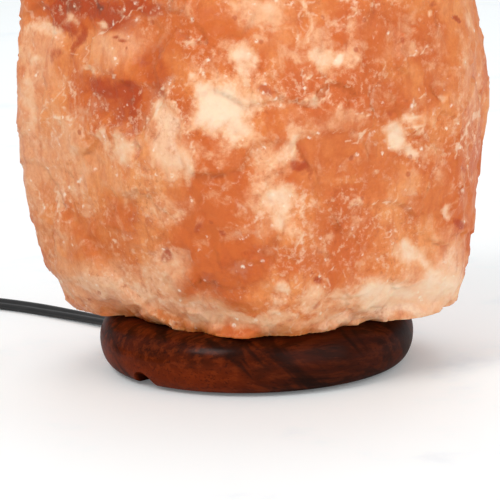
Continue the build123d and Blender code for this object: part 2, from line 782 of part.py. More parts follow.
with BuildPart() as cord_tie:
    tie_inner_y = coil_y + coil_radius - half_pitch - (coil_turns_in - 1) * coil_pitch
    tie_outer_y = coil_y + coil_radius - half_pitch
    hole_height = layer_step + cord_width + 2 * tie_lift
    hole_depth = tie_outer_y - tie_inner_y + cord_thickness + 2 * tie_play
    tie_plane = Plane(
        origin=(coil_x, (tie_inner_y + tie_outer_y) / 2, (coil_low_z + coil_high_z) / 2),
        x_dir=(0, 1, 0),
        z_dir=(1, 0, 0),
    )
    with BuildSketch(tie_plane):
        RectangleRounded(hole_depth + 2 * tie_thickness, hole_height + 2 * tie_thickness, 1.6)
        RectangleRounded(hole_depth, hole_height, 1.0, mode=Mode.SUBTRACT)
    extrude(amount=tie_width / 2, both=True)

# ---- Cords that turn from flat to on edge, either side of the coil --------------------------------


def turning_planes(start, end, first_angle, last_angle):
    """Planes along a straight run of cord, whose local x turns from one angle to the other."""
    run = Vector(*end) - Vector(*start)
    heading = 1 if run.Y > 0 else -1
    planes = []
    for step in range(9):
        turn = radians(first_angle + (last_angle - first_angle) * step / 8)
        origin = Vector(*start) + run * (step / 8)
        planes.append(Plane(origin=origin, x_dir=(cos(turn), 0, sin(turn)), z_dir=(0, heading, 0)))
    return planes


feed_start = (dimmer_x, dimmer_front_y, dimmer_entry_height)
feed_end = (coil_x - coil_radius, coil_y + cord_width, coil_low_z)
with BuildPart() as feed_cord:
    for plane in turning_planes(feed_start, feed_end, 0, 90):
        with BuildSketch(plane):
            SlotOverall(cord_width, cord_thickness)
    loft(ruled=True)

plug_x = coil_x + coil_radius
plug_back_y = coil_y + cord_width + plug_cord_length
plug_z = plug_height / 2
plug_cord_start = (plug_x, coil_y + cord_width, coil_high_z)
plug_cord_end = (plug_x, plug_back_y, plug_z)
with BuildPart() as plug_cord:
    for plane in turning_planes(plug_cord_start, plug_cord_end, 90, 0):
        with BuildSketch(plane):
            SlotOverall(cord_width, cord_thickness)
    loft(ruled=True)

# ---- Plug -----------------------------------------------------------------------------------------

plug_front_y = plug_back_y + plug_tail_length + plug_body_length
tail_plane = Plane(origin=(plug_x, plug_back_y, plug_z), x_dir=(-1, 0, 0), z_dir=(0, 1, 0))
with BuildPart() as plug_body:
    with BuildSketch(tail_plane):
        RectangleRounded(cord_width + 2, cord_thickness + 2, 2)
    with BuildSketch(tail_plane.offset(plug_tail_length)):
        RectangleRounded(plug_width - 8, plug_height - 4, 3)
    with BuildSketch(tail_plane.offset(plug_tail_length + plug_body_length / 3)):
        RectangleRounded(plug_width, plug_height, 4)
    with BuildSketch(tail_plane.offset(plug_tail_length + plug_body_length)):
        RectangleRounded(plug_width, plug_height, 4)
    loft(ruled=True)
    with Locations((plug_x, plug_front_y, plug_z)):
        with GridLocations(blade_spacing, 1, 2, 1):
            Box(
                blade_thickness + snug,
                2 * blade_root,
                blade_width + snug,
                mode=Mode.SUBTRACT,
            )

with BuildPart() as plug_blades:
    with Locations((plug_x, plug_front_y - blade_root, plug_z)):
        with GridLocations(blade_spacing, 1, 2, 1):
            Box(
                blade_thickness,
                blade_root + blade_length,
                blade_width,
                align=(Align.CENTER, Align.MIN, Align.CENTER),
            )
    with Locations((plug_x, plug_front_y + blade_length - blade_hole_from_tip, plug_z)):
        Cylinder(blade_hole_radius, plug_width, rotation=(0, 90, 0), mode=Mode.SUBTRACT)

# ---- Export ---------------------------------------------------------------------------------------

salt_crystal.part.label = "salt_crystal"
export_step(salt_crystal.part, "parts/salt_crystal.step")
wooden_base.part.label = "wooden_base"
export_step(wooden_base.part, "parts/wooden_base.step")
base_screws.part.label = "base_screws"
export_step(base_screws.part, "parts/base_screws.step")
wall_plugs.part.label = "wall_plugs"
export_step(wall_plugs.part, "parts/wall_plugs.step")
felt_feet.part.label = "felt_feet"
export_step(felt_feet.part, "parts/felt_feet.step")
clip_plate.part.label = "clip_plate"
export_step(clip_plate.part, "parts/clip_plate.step")
spring_clips.part.label = "spring_clips"
export_step(spring_clips.part, "parts/spring_clips.step")
clip_rivets.part.label = "clip_rivets"
export_step(clip_rivets.part, "parts/clip_rivets.step")
bottom_cover.part.label = "bottom_cover"
export_step(bottom_cover.part, "parts/bottom_cover.step")
cover_screws.part.label = "cover_screws"
export_step(cover_screws.part, "parts/cover_screws.step")
cord_relief.part.label = "cord_relief"
export_step(cord_relief.part, "parts/cord_relief.step")
core_wires.part.label = "core_wires"
export_step(core_wires.part, "parts/core_wires.step")
holder_sleeve.part.label = "holder_sleeve"
export_step(holder_sleeve.part, "parts/holder_sleeve.step")
holder_screws.part.label = "holder_screws"
export_step(holder_screws.part, "parts/holder_screws.step")
contact_block.part.label = "contact_block"
export_step(contact_block.part, "parts/contact_block.step")
holder_thread.part.label = "holder_thread"
export_step(holder_thread.part, "parts/holder_thread.step")
centre_contact.part.label = "centre_contact"
export_step(centre_contact.part, "parts/centre_contact.step")
terminal_screws.part.label = "terminal_screws"
export_step(terminal_screws.part, "parts/terminal_screws.step")
bulb_glass.part.label = "bulb_glass"
export_step(bulb_glass.part, "parts/bulb_glass.step")
bulb_cap.part.label = "bulb_cap"
export_step(bulb_cap.part, "parts/bulb_cap.step")
bulb_insulator.part.label = "bulb_insulator"
export_step(bulb_insulator.part, "parts/bulb_insulator.step")
bulb_tip.part.label = "bulb_tip"
export_step(bulb_tip.part, "parts/bulb_tip.step")
bulb_stem.part.label = "bulb_stem"
export_step(bulb_stem.part, "parts/bulb_stem.step")
bulb_leads.part.label = "bulb_leads"
export_step(bulb_leads.part, "parts/bulb_leads.step")
bulb_filament.part.label = "bulb_filament"
export_step(bulb_filament.part, "parts/bulb_filament.step")
lamp_cord.part.label = "lamp_cord"
export_step(lamp_cord.part, "parts/lamp_cord.step")
dimmer_lower.part.label = "dimmer_lower"
export_step(dimmer_lower.part, "parts/dimmer_lower.step")
dimmer_upper.part.label = "dimmer_upper"
export_step(dimmer_upper.part, "parts/dimmer_upper.step")
dimmer_board.part.label = "dimmer_board"
export_step(dimmer_board.part, "parts/dimmer_board.step")
dimmer_pot.part.label = "dimmer_pot"
export_step(dimmer_pot.part, "parts/dimmer_pot.step")
dimmer_wheel.part.label = "dimmer_wheel"
export_step(dimmer_wheel.part, "parts/dimmer_wheel.step")
dimmer_screws.part.label = "dimmer_screws"
export_step(dimmer_screws.part, "parts/dimmer_screws.step")
feed_cord.part.label = "feed_cord"
export_step(feed_cord.part, "parts/feed_cord.step")
cord_coil.part.label = "cord_coil"
export_step(cord_coil.part, "parts/cord_coil.step")
cord_tie.part.label = "cord_tie"
export_step(cord_tie.part, "parts/cord_tie.step")
plug_cord.part.label = "plug_cord"
export_step(plug_cord.part, "parts/plug_cord.step")
plug_body.part.label = "plug_body"
export_step(plug_body.part, "parts/plug_body.step")
plug_blades.part.label = "plug_blades"
export_step(plug_blades.part, "parts/plug_blades.step")

cord_section = (cord_width - cord_thickness) * cord_thickness + pi * cord_thickness**2 / 4
for cord, length in (
    (lamp_cord.part, lamp_cord_line.wire().length),
    (cord_coil.part, coil_length),
    (feed_cord.part, (Vector(*feed_end) - Vector(*feed_start)).length),
    (plug_cord.part, (Vector(*plug_cord_end) - Vector(*plug_cord_start)).length),
):
    share = cord.volume / (cord_section * length)
    print(cord.label, "length", round(length, 1), "volume share", round(share, 3))
print("bends of the lamp cord", [round(radius) for radius in bend_radii(lamp_cord_points)])
print("smallest gap in the coil", round(coil_gap, 2))
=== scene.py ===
# %% [markdown]
# A salt crystal lamp: a large lump of rock salt on a round lacquered wooden base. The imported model
# brings every piece at its real size and place. This file gives each of them its finish, and makes
# again the pieces whose look needs more than a plain solid: the rough crystal and the flat cord.

import math

import bpy
import bmesh
import numpy as np
from mathutils import Matrix, Vector


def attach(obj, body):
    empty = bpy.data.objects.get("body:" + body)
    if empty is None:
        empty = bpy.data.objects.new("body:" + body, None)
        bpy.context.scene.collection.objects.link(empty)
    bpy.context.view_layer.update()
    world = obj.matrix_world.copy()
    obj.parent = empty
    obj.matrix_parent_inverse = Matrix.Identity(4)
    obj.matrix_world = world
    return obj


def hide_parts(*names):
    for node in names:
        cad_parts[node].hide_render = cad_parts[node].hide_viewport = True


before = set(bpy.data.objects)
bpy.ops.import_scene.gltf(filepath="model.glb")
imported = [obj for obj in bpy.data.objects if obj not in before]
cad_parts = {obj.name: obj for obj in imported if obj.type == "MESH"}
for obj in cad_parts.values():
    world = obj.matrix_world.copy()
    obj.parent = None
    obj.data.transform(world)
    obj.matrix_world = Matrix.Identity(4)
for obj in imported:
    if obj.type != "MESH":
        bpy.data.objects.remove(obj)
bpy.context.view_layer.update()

# %% [markdown]
# The camera comes first, because everything is compared through it. The round base shows as an
# ellipse, and how flat the ellipse is gives how far the camera looks down: 12 degrees. The base's
# underside also leans by a degree and a half, so the camera was held slightly turned. It stood
# about 1.2 m away with a long lens, so there is hardly any perspective.

# %% Camera
def add_object(name, data):
    """A new object in the scene."""
    new = bpy.data.objects.new(name, data)
    bpy.context.scene.collection.objects.link(new)
    return new


camera_distance = 1.2
look_down = math.radians(12.0)
camera_lean = math.radians(-1.54)
aim = Vector((-0.0017, 0.0, 0.04323))
focal_pixels = 3146.0
picture_size = 500

camera_data = bpy.data.cameras.new("camera")
camera_data.sensor_width = 36.0
camera_data.lens = camera_data.sensor_width * focal_pixels / picture_size
camera = add_object("camera", camera_data)
away = Vector((0.0, -math.cos(look_down), math.sin(look_down)))
camera.matrix_world = (
    Matrix.Translation(aim + away * camera_distance)
    @ Matrix.Rotation(math.pi / 2 - look_down, 4, "X")
    @ Matrix.Rotation(camera_lean, 4, "Z")
)
bpy.context.scene.camera = camera
bpy.context.scene.view_settings.view_transform = "Standard"
print("camera stands at", [round(value, 3) for value in camera.matrix_world.translation])

# %% [markdown]
# A few helpers build materials in code. Colours are written as a paint chart would give them, from
# 0 to 255, and turned into the linear values that the renderer works with.

# %% Helpers for materials
def paint(red, green, blue):
    """A colour from 0 to 255 as linear values."""
    linear = []
    for value in (red / 255, green / 255, blue / 255):
        linear.append(value / 12.92 if value <= 0.04045 else ((value + 0.055) / 1.055) ** 2.4)
    return (*linear, 1.0)


def new_material(name):
    """An empty node material, its node tree and its Principled shader."""
    material = bpy.data.materials.new(name)
    material.use_nodes = True
    tree = material.node_tree
    tree.nodes.clear()
    look = tree.nodes.new("ShaderNodeBsdfPrincipled")
    put(tree, "ShaderNodeOutputMaterial", Surface=look.outputs[0])
    return material, tree, look


def feed(node, **values):
    """Links or sets inputs of a node, by their names or as i0, i1 and so on."""
    for name, value in values.items():
        key = int(name[1:]) if name[0] == "i" and name[1:].isdigit() else name.replace("_", " ")
        if isinstance(value, bpy.types.NodeSocket):
            node.id_data.links.new(value, node.inputs[key])
        else:
            node.inputs[key].default_value = value
    return node


def put(tree, kind, settings=None, **values):
    """Adds a node with its settings, and feeds its inputs."""
    node = tree.nodes.new(kind)
    for name, value in (settings or {}).items():
        setattr(node, name, value)
    return feed(node, **values)


def beside(kind, settings, *values):
    """Adds a node to the tree that the values come from, and feeds its first inputs with them."""
    tree = next(value.id_data for value in values if isinstance(value, bpy.types.NodeSocket))
    return put(tree, kind, settings, **{f"i{index}": value for index, value in enumerate(values)})


def calc(operation, *values):
    """A Math node's output."""
    return beside("ShaderNodeMath", {"operation": operation}, *values).outputs[0]


def vector(operation, *values):
    """A Vector Math node."""
    return beside("ShaderNodeVectorMath", {"operation": operation}, *values)


def times(first, *others):
    """The product of all values."""
    for value in others:
        first = calc("MULTIPLY", first, value)
    return first


def opposite(mask):
    """1 where a mask is 0, and the other way round."""
    return calc("SUBTRACT", 1.0, mask)


def step_mask(value, low, high):
    """0 below low, 1 above high and a soft step between them."""
    settings = {"interpolation_type": "SMOOTHSTEP"}
    return beside("ShaderNodeMapRange", settings, value, low, high).outputs["Result"]


def blend_paint(share, under, over):
    """Lays one colour over another by a share."""
    settings = {"data_type": "RGBA", "clamp_factor": True}
    return put(share.id_data, "ShaderNodeMix", settings, i0=share, i6=under, i7=over).outputs[2]


def lay(under, layers):
    """Lays colours over another in turn: each with the masks whose product is its share."""
    for colour, *masks in layers:
        under = blend_paint(times(*masks), under, paint(*colour))
    return under


def grain(place, size, detail=4.0, rough=0.55, warp=0.0):
    """Noise whose features are about size metres across."""
    values = {"Scale": 1.0 / size, "Detail": detail, "Roughness": rough, "Distortion": warp}
    return put(place.id_data, "ShaderNodeTexNoise", Vector=place, **values).outputs["Fac"]


def squeeze(place, scale, turn=(0.0, 0.0, 0.0)):
    """The same place, turned and then scaled along each axis, to stretch a pattern."""
    values = {"Rotation": turn, "Scale": tuple(1 / value for value in scale)}
    settings = {"vector_type": "TEXTURE"}
    return put(place.id_data, "ShaderNodeMapping", settings, Vector=place, **values).outputs[0]


def bump(look, height, distance, strength):
    """Feeds a height in as small relief, at most distance metres deep."""
    values = {"Strength": strength, "Distance": distance, "Height": height}
    feed(look, Normal=put(look.id_data, "ShaderNodeBump", **values).outputs[0])


def object_place(tree):
    """Where the shaded point is, in metres."""
    return put(tree, "ShaderNodeTexCoord").outputs["Object"]


dressed = set()


def dress(material, *names):
    """Gives a material to nodes of the model."""
    for name in names:
        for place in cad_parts[name].material_slots:
            place.material = material
        dressed.add(name)

# %% [markdown]
# The photograph has a bright, even surrounding, with soft light from the upper left and in front.
# The floor fills the whole picture behind the lamp, because the camera looks down. Its own colour
# is nearly white, and Light Path adds a little more of it for the camera alone, so that the floor
# is pale while the light on the lamp stays plain.

# %% Floor, world and lamps
world = bpy.data.worlds.new("studio")
bpy.context.scene.world = world
world.use_nodes = True
sky = world.node_tree
sky.nodes.clear()
path = put(sky, "ShaderNodeLightPath")
seen = calc("MAXIMUM", path.outputs["Is Camera Ray"], path.outputs["Is Transmission Ray"])
soft_light = put(sky, "ShaderNodeBackground", Color=(0.985, 0.99, 1.0, 1.0), Strength=0.56)
seen_white = put(sky, "ShaderNodeBackground", Color=(0.93, 0.945, 0.955, 1.0), Strength=1.0)
choose = put(
    sky, "ShaderNodeMixShader", i0=seen, i1=soft_light.outputs[0], i2=seen_white.outputs[0]
)
put(sky, "ShaderNodeOutputWorld", Surface=choose.outputs[0])

floor_material, tree, look = new_material("pale_floor")
cloud = grain(object_place(tree), 0.055, detail=5.0, rough=0.6)
floor_paint = blend_paint(
    step_mask(cloud, 0.52, 0.8), paint(240, 244, 245), paint(226, 232, 236)
)
glow = times(put(tree, "ShaderNodeLightPath").outputs["Is Camera Ray"], 0.12)
feed(look, Base_Color=floor_paint, Roughness=0.6, Specular_IOR_Level=0.2)
feed(look, Emission_Color=floor_paint, Emission_Strength=glow)

bpy.ops.mesh.primitive_plane_add(size=12.0, location=(0.0, 0.0, 0.0))
floor = bpy.context.object
floor.name = "floor"
floor.data.materials.append(floor_material)


def area_lamp(name, place, target_height, size, power, colour):
    """A soft square lamp that shines at the lamp's axis, at a height."""
    data = bpy.data.lights.new(name, "AREA")
    data.shape = "SQUARE"
    data.size = size
    data.energy = power
    data.color = colour
    lamp = add_object(name, data)
    lamp.location = place
    shine = Vector((0.0, 0.0, target_height)) - Vector(place)
    lamp.rotation_euler = shine.to_track_quat("-Z", "Y").to_euler()


area_lamp("window_left", (-0.95, -0.95, 1.5), 0.07, 0.7, 14.0, (1.0, 0.99, 0.97))
area_lamp("front_right", (1.2, -1.3, 0.75), 0.08, 1.7, 12.5, (1.0, 0.98, 0.96))
area_lamp("top_back", (0.1, 0.9, 1.5), 0.05, 1.2, 9.0, (1.0, 1.0, 1.0))

# %% [markdown]
# The cord is flat twin flex: two round cores side by side in one black skin, with a groove between
# them. Its route is one smooth NURBS line through the points that were settled with the model. The
# section is then carried along points read from that line. It lies flat at the lamp, rolls partly
# onto its edge where the photograph shows it wider, and stands on edge in the coil.

# %% Flat twin cord
cord_width = 0.0056
cord_thickness = 0.0028


def as_evaluated(item):
    """A mesh of an object with its modifiers, or of a curve."""
    bpy.context.view_layer.update()
    graph = bpy.context.evaluated_depsgraph_get()
    return bpy.data.meshes.new_from_object(item.evaluated_get(graph))


def smooth_line(name, points, resolution):
    """The points along a NURBS line that has the given control points."""
    curve = bpy.data.curves.new(name, "CURVE")
    curve.dimensions = "3D"
    curve.resolution_u = resolution
    spline = curve.splines.new("NURBS")
    spline.points.add(len(points) - 1)
    for point, place in zip(spline.points, points):
        point.co = (*place, 1.0)
    spline.order_u = 3
    spline.use_endpoint_u = True
    line = add_object(name, curve)
    mesh = as_evaluated(line)
    places = [vertex.co.copy() for vertex in mesh.vertices]
    bpy.data.meshes.remove(mesh)
    bpy.data.objects.remove(line)
    return places


def twin_section(steps=9):
    """The outline of two round cores that touch: (across, up) in metres, anticlockwise."""
    core = cord_thickness / 2
    offset = (cord_width - cord_thickness) / 2
    waist = math.radians(36)
    outline = []
    for side, first in ((1, -math.pi + waist), (-1, waist)):
        for step in range(steps + 1):
            angle = first + (2 * math.pi - 2 * waist) * step / steps
            outline.append((side * offset + core * math.cos(angle), core * math.sin(angle)))
    return outline


def flat_cord(name, places, roll):
    """A tube of the twin section along the places. roll(metres, whole) is its turn from flat."""
    section = twin_section()
    along = [0.0]
    for before, after in zip(places, places[1:]):
        along.append(along[-1] + (after - before).length)
    work = bmesh.new()
    rings = []
    for index, place in enumerate(places):
        before = places[max(index - 1, 0)]
        after = places[min(index + 1, len(places) - 1)]
        heading = (after - before).normalized()
        across = heading.cross(Vector((0.0, 0.0, 1.0))).normalized()
        up = across.cross(heading)
        turn = roll(along[index], along[-1])
        wide = across * math.cos(turn) + up * math.sin(turn)
        thin = up * math.cos(turn) - across * math.sin(turn)
        rings.append([work.verts.new(place + wide * x + thin * y) for x, y in section])
    for ring, following in zip(rings, rings[1:]):
        for index in range(len(section)):
            other = (index + 1) % len(section)
            face = work.faces.new((ring[index], ring[other], following[other], following[index]))
            face.smooth = True
    work.faces.new(rings[0])
    work.faces.new(rings[-1])
    bmesh.ops.recalc_face_normals(work, faces=work.faces)
    mesh = bpy.data.meshes.new(name)
    work.to_mesh(mesh)
    work.free()
    print(name, "is", round(along[-1] * 1000), "mm long,", len(mesh.polygons), "faces")
    return add_object(name, mesh)


# %% Cord from the lamp to the dimmer
exit_way = math.radians(134.0)


def out_from_base(along, height):
    """A point on the cord's way out, at a distance from the base's axis."""
    return (along * math.cos(exit_way), along * math.sin(exit_way), height)


lamp_cord_route = [
    out_from_base(0.036594, 0.0034), out_from_base(0.041, 0.0034),
    out_from_base(0.056, 0.0028), out_from_base(0.076, 0.0023),
    (-0.075, 0.0756, 0.0022), (-0.098, 0.095, 0.0022), (-0.124, 0.110, 0.0022),
    (-0.150, 0.116, 0.0022), (-0.173, 0.110, 0.0022), (-0.189, 0.094, 0.0024),
    (-0.195, 0.074, 0.0032), (-0.195, 0.058, 0.0045), (-0.195, 0.049, 0.0045),
]


def lamp_cord_roll(along, whole):
    """Flat at both ends, rolled partly onto its edge at the left edge of the picture."""
    flat_start, roll_on, flat_end, roll_off, most = 0.035, 0.05, 0.03, 0.08, math.radians(26.0)
    rise = max(0.0, min(1.0, (along - flat_start) / roll_on))
    fall = max(0.0, min(1.0, (whole - flat_end - along) / roll_off))
    return most * rise * fall


lamp_cord_line = smooth_line("lamp_cord_line", lamp_cord_route, 14)
lamp_flex = flat_cord("lamp_flex", lamp_cord_line, lamp_cord_roll)

# %% [markdown]
# The rest of the cord is put away in a neat coil behind the left edge of the picture: three turns
# spiral in, the cord climbs one layer, and three turns spiral out again on top. Half turns whose
# centres step to and fro by half a pitch make such a spiral, so the control points come from that
# rule. A NURBS line of order 3 touches the middle of each straight run between its control points,
# so the points stand a little outside the radius that the cord should have.

# %% Cord from the dimmer through the coil to the plug
coil_middle = (-0.159, -0.065)
coil_radius = 0.036
coil_pitch = 0.0036
coil_turns_in = 3
coil_low = 0.0038
coil_high = 0.0099
points_in_half_turn = 12

half_turns = []
edge = -coil_radius
side = -1
for turn in range(2 * coil_turns_in):
    radius = coil_radius - turn * coil_pitch / 2
    half_turns.append((edge - side * radius, radius, side))
    edge -= 2 * side * radius
    side = -side

supply_route = [(-0.195, -0.025, 0.0045), (-0.195, -0.042, 0.0042), (-0.195, -0.0594, coil_low)]
whole_way = [(*half_turn, coil_low, coil_low) for half_turn in half_turns]
whole_way.append((0.0, abs(edge), side, coil_low, coil_high))
for centre, radius, way in reversed(half_turns):
    whole_way.append((-centre, radius, way, coil_high, coil_high))
for centre, radius, way, first_height, last_height in whole_way:
    reach = radius / math.cos(math.pi / points_in_half_turn / 2)
    for step in range(points_in_half_turn):
        share = (step + 0.5) / points_in_half_turn
        bearing = (math.pi if way < 0 else 0.0) + math.pi * share
        climb = (1 - math.cos(math.pi * share)) / 2
        x = coil_middle[0] + centre + reach * math.cos(bearing)
        y = coil_middle[1] + reach * math.sin(bearing)
        supply_route.append((x, y, first_height + (last_height - first_height) * climb))
supply_route += [(-0.123, -0.0594, coil_high), (-0.123, -0.0384, 0.0084), (-0.123, -0.0174, 0.007)]


def supply_roll(along, whole):
    """It turns onto its edge before the coil, and flat again towards the plug."""
    before_coil, before_plug = 0.0344, 0.042
    return math.pi / 2 * min(1.0, along / before_coil, (whole - along) / before_plug)


supply_line = smooth_line("supply_line", supply_route, 6)
supply_flex = flat_cord("supply_flex", supply_line, supply_roll)

# %% What the two cords are
supply_nodes = ["feed_cord", "cord_coil", "plug_cord"]
for piece, nodes in ((lamp_flex, ["lamp_cord"]), (supply_flex, supply_nodes)):
    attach(piece, "lampholder")
    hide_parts(*nodes)
dimmer_nodes = ["dimmer_lower", "dimmer_upper", "dimmer_board"]
dimmer_nodes += ["dimmer_pot", "dimmer_wheel", "dimmer_screws"]

# %% [markdown]
# The crystal is a hewn lump: its sides are broad, slightly hollow or flat facets with worn edges,
# its lower edge is broken off raggedly, and its underside is sawn flat. The outline is known from
# the photograph up to its top edge. So the lump starts as a grid of points around that outline,
# each facet is then cut by a plane, and only the small weathering is left to noise.

# %% Outline of the crystal
# Heights above the table, and how far the lump reaches at each to the left, right, front and back
# of the base's axis, in millimetres
heights_left = [
    22, 24.5, 31, 38, 45, 52, 59.5, 67, 76, 85, 95, 107, 113, 128, 141, 150, 170, 198, 216, 229,
    235,
]
reach_left = [
    69.3, 73.5, 76.9, 79.7, 80.9, 82.4, 85.2, 86.4, 87.8, 88.8, 88.5, 87.9, 87.8, 86.4, 85.1, 84.0,
    77.0, 62.0, 44.0, 27.0, 13.0,
]
heights_right = [
    22, 25, 28.5, 32, 41, 46, 52, 60, 68, 76, 82, 90, 96, 103, 110, 117, 122, 129, 137, 150, 170,
    198, 216, 229, 235,
]
reach_right = [
    75.2, 78.2, 79.3, 80.9, 82.9, 84.5, 84.9, 84.9, 85.6, 86.8, 88.0, 89.6, 90.4, 90.4, 89.8, 89.1,
    87.7, 86.5, 85.8, 84.0, 75.0, 58.0, 38.0, 20.0, 10.0,
]
heights_deep = [22, 27, 39, 62, 80, 97, 130, 150, 170, 198, 216, 229, 235]
reach_front = [55, 62, 67, 73, 76, 77, 76, 73, 66, 53, 38, 23, 12]
reach_back = [52, 60, 66, 72, 75, 76, 76, 74, 68, 57, 43, 28, 14]

# The lower edge where it is broken, seen from above, in millimetres
lower_edge = [
    (-69.3, 4.0), (-62.0, -9.0), (-56.8, -14.9), (-52.0, -15.0), (-44.6, -19.0), (-39.6, -23.5),
    (-33.8, -31.0), (-28.4, -39.5), (-21.0, -44.0), (-13.9, -51.0), (-8.1, -55.5), (-0.7, -54.2),
    (4.8, -52.0), (11.0, -53.6), (15.0, -54.5), (19.5, -50.5), (24.3, -49.2), (28.9, -43.5),
    (32.4, -39.5), (38.0, -38.2), (44.1, -35.6), (48.7, -33.4), (52.5, -33.0), (57.5, -33.5),
    (64.0, -29.0), (71.0, -18.0), (75.2, -4.0),
]

# %% Smooth body on a grid
sawn_height, top_height = 22, 235
around_count, ring_count = 380, 226


def soften(values, width):
    """A running mean along the first axis."""
    padded = np.concatenate(
        [np.repeat(values[:1], width, 0), values, np.repeat(values[-1:], width, 0)]
    )
    total = np.zeros_like(values)
    for shift in range(2 * width + 1):
        total += padded[shift : shift + len(values)]
    return total / (2 * width + 1)


# Rings are evenly spaced along the side's profile, and closer together near the broken edge
closer_below, closer_by = 36, 1.6
profile_height = np.linspace(sawn_height, top_height, 3000)
profile_reach = np.interp(profile_height, heights_left, reach_left)
step = np.hypot(np.diff(profile_height), np.diff(profile_reach))
step[profile_height[:-1] < closer_below] *= closer_by
distance = np.concatenate([[0], np.cumsum(step)])
ring_height = np.interp(np.linspace(0, distance[-1], ring_count), distance, profile_height)

# Points crowd a little on the side that faces the camera
crowding = 0.35
dense = np.linspace(0, 2 * np.pi, 4001)
crowd = 1 - crowding * np.sin(dense)
position = np.concatenate([[0], np.cumsum((crowd[1:] + crowd[:-1]) / 2)])
around = np.interp(np.arange(around_count) / around_count * position[-1], position, dense)


def side_reach(heights, reaches):
    """A reach for every ring, without the table's corners."""
    return soften(np.interp(ring_height, heights, reaches), 2)[:, None]


left, right = side_reach(heights_left, reach_left), side_reach(heights_right, reach_right)
front, back = side_reach(heights_deep, reach_front), side_reach(heights_deep, reach_back)
way_x, way_y = np.cos(around)[None, :], np.sin(around)[None, :]
lift = np.clip((ring_height - sawn_height) / (top_height - sawn_height), 0, 1)[:, None]
# How full each of the four corners is: 2 is an ellipse, and more is squarer
fullness = sum(
    np.clip(side_x * way_x, 0, 1) * np.clip(side_y * way_y, 0, 1) * 2 * full
    for side_x, side_y, full in (
        (1, 1, 2.3), (-1, 1, 2.1), (-1, -1, 1.45 + 0.35 * lift), (1, -1, 1.95),
    )
)
corner = np.clip(np.abs(way_x * way_y) * 2, 0, 1)
fullness = np.where(corner > 0.02, fullness / np.maximum(corner, 0.02), 2.0)
share_x = np.abs(way_x) / np.where(way_x >= 0, right, left)
share_y = np.abs(way_y) / np.where(way_y >= 0, back, front)
radius = (share_x**fullness + share_y**fullness + 1e-12) ** (-1 / fullness)

# %% Lower edge, broken away under the body
broken_height, undercut_curve = 17, 1.35
fine_raggedness, broad_raggedness = 0.011, 0.02
edge_bearing = [math.degrees(math.atan2(y, x)) % 360 for x, y in lower_edge]
edge_reach = [math.hypot(x, y) for x, y in lower_edge]
bearing = np.degrees(around) % 360
edge_here = np.interp(bearing, edge_bearing, edge_reach, left=0, right=0)
in_front = (bearing >= edge_bearing[0]) & (bearing <= edge_bearing[-1])
edge_share = np.where(in_front, edge_here / radius[0], 1.0)
edge_share = soften(edge_share[:, None], 1)[:, 0]
ragged = np.random.default_rng(5).normal(0, 1, (around_count, 1))
ragged = (
    soften(ragged, 1)[:, 0] * fine_raggedness + soften(ragged, 4)[:, 0] * broad_raggedness
)
edge_share = edge_share * (1 + ragged * in_front)
under_reach = np.clip(1 - (ring_height - sawn_height) / broken_height, 0, 1)[:, None]
under_reach = under_reach**undercut_curve
radius = radius * (1 + (edge_share[None, :] - 1) * under_reach)
ring_grid = np.broadcast_to(ring_height[:, None], radius.shape)
crystal = np.stack([radius * way_x, radius * way_y, ring_grid], axis=-1)
print("crystal grid", crystal.shape, "widest", crystal[..., 0].min(), crystal[..., 0].max())

# %% [markdown]
# A hewing cut is a plane that takes a shallow cap off the body: whatever stands outside the plane
# is pressed back onto it, with a soft shoulder so that the edge looks worn. Some cuts are seen in
# the photograph, such as the steep one at the right. The others are scattered over the lump with a
# fixed seed, and each starts from a place on the surface and its own outward direction.

# %% Hewn facets
def outward(points):
    """The outward direction at every grid point."""
    along_ring = np.roll(points, -1, 1) - np.roll(points, 1, 1)
    normal = np.cross(along_ring, np.gradient(points, axis=0))
    return normal / np.maximum(np.linalg.norm(normal, axis=-1, keepdims=True), 1e-9)


def hew(points, place, direction, depth, wear):
    """Presses what lies beyond a plane back onto it. The plane is depth under place."""
    direction = np.asarray(direction, float)
    direction /= np.linalg.norm(direction)
    beyond = (points - np.asarray(place, float)) @ direction + depth
    pressed = wear * np.logaddexp(0, beyond / wear)
    return points - pressed[..., None] * direction


chance = np.random.default_rng(11)
unhewn = crystal.copy()
body_normal = outward(crystal)
facet_count, facet_tilt, least_depth = 90, 0.10, 0.15
for _ in range(facet_count):
    ring = int(chance.uniform(0.07, 0.97) * (ring_count - 1))
    column = int(chance.uniform(0, around_count))
    facing = body_normal[ring, column] + chance.normal(0, facet_tilt, 3)
    depth = abs(chance.normal(0.3, 0.55)) + least_depth
    crystal = hew(crystal, crystal[ring, column], facing, depth, chance.uniform(0.3, 1.1))

# The facets that the photograph shows: the steep one at the right, one above it, the undercut ones
# at the lower left and lower right, and two shallow ones on the left flank
for place, direction, depth, wear in (
    ((88.0, -22.0, 70.0), (0.93, -0.30, -0.14), 2.6, 0.35),
    ((89.0, -10.0, 112.0), (0.96, -0.22, 0.16), 1.0, 0.5),
    ((-52.0, -30.0, 30.0), (-0.62, -0.62, -0.48), 0.0, 0.6),
    ((48.0, -40.0, 30.0), (0.45, -0.70, -0.55), 0.5, 0.6),
    ((-80.0, -30.0, 66.0), (-0.86, -0.50, -0.06), 1.2, 1.2),
    ((-72.0, -42.0, 112.0), (-0.80, -0.58, 0.10), 1.5, 1.2),
):
    crystal = hew(crystal, place, direction, depth, wear)
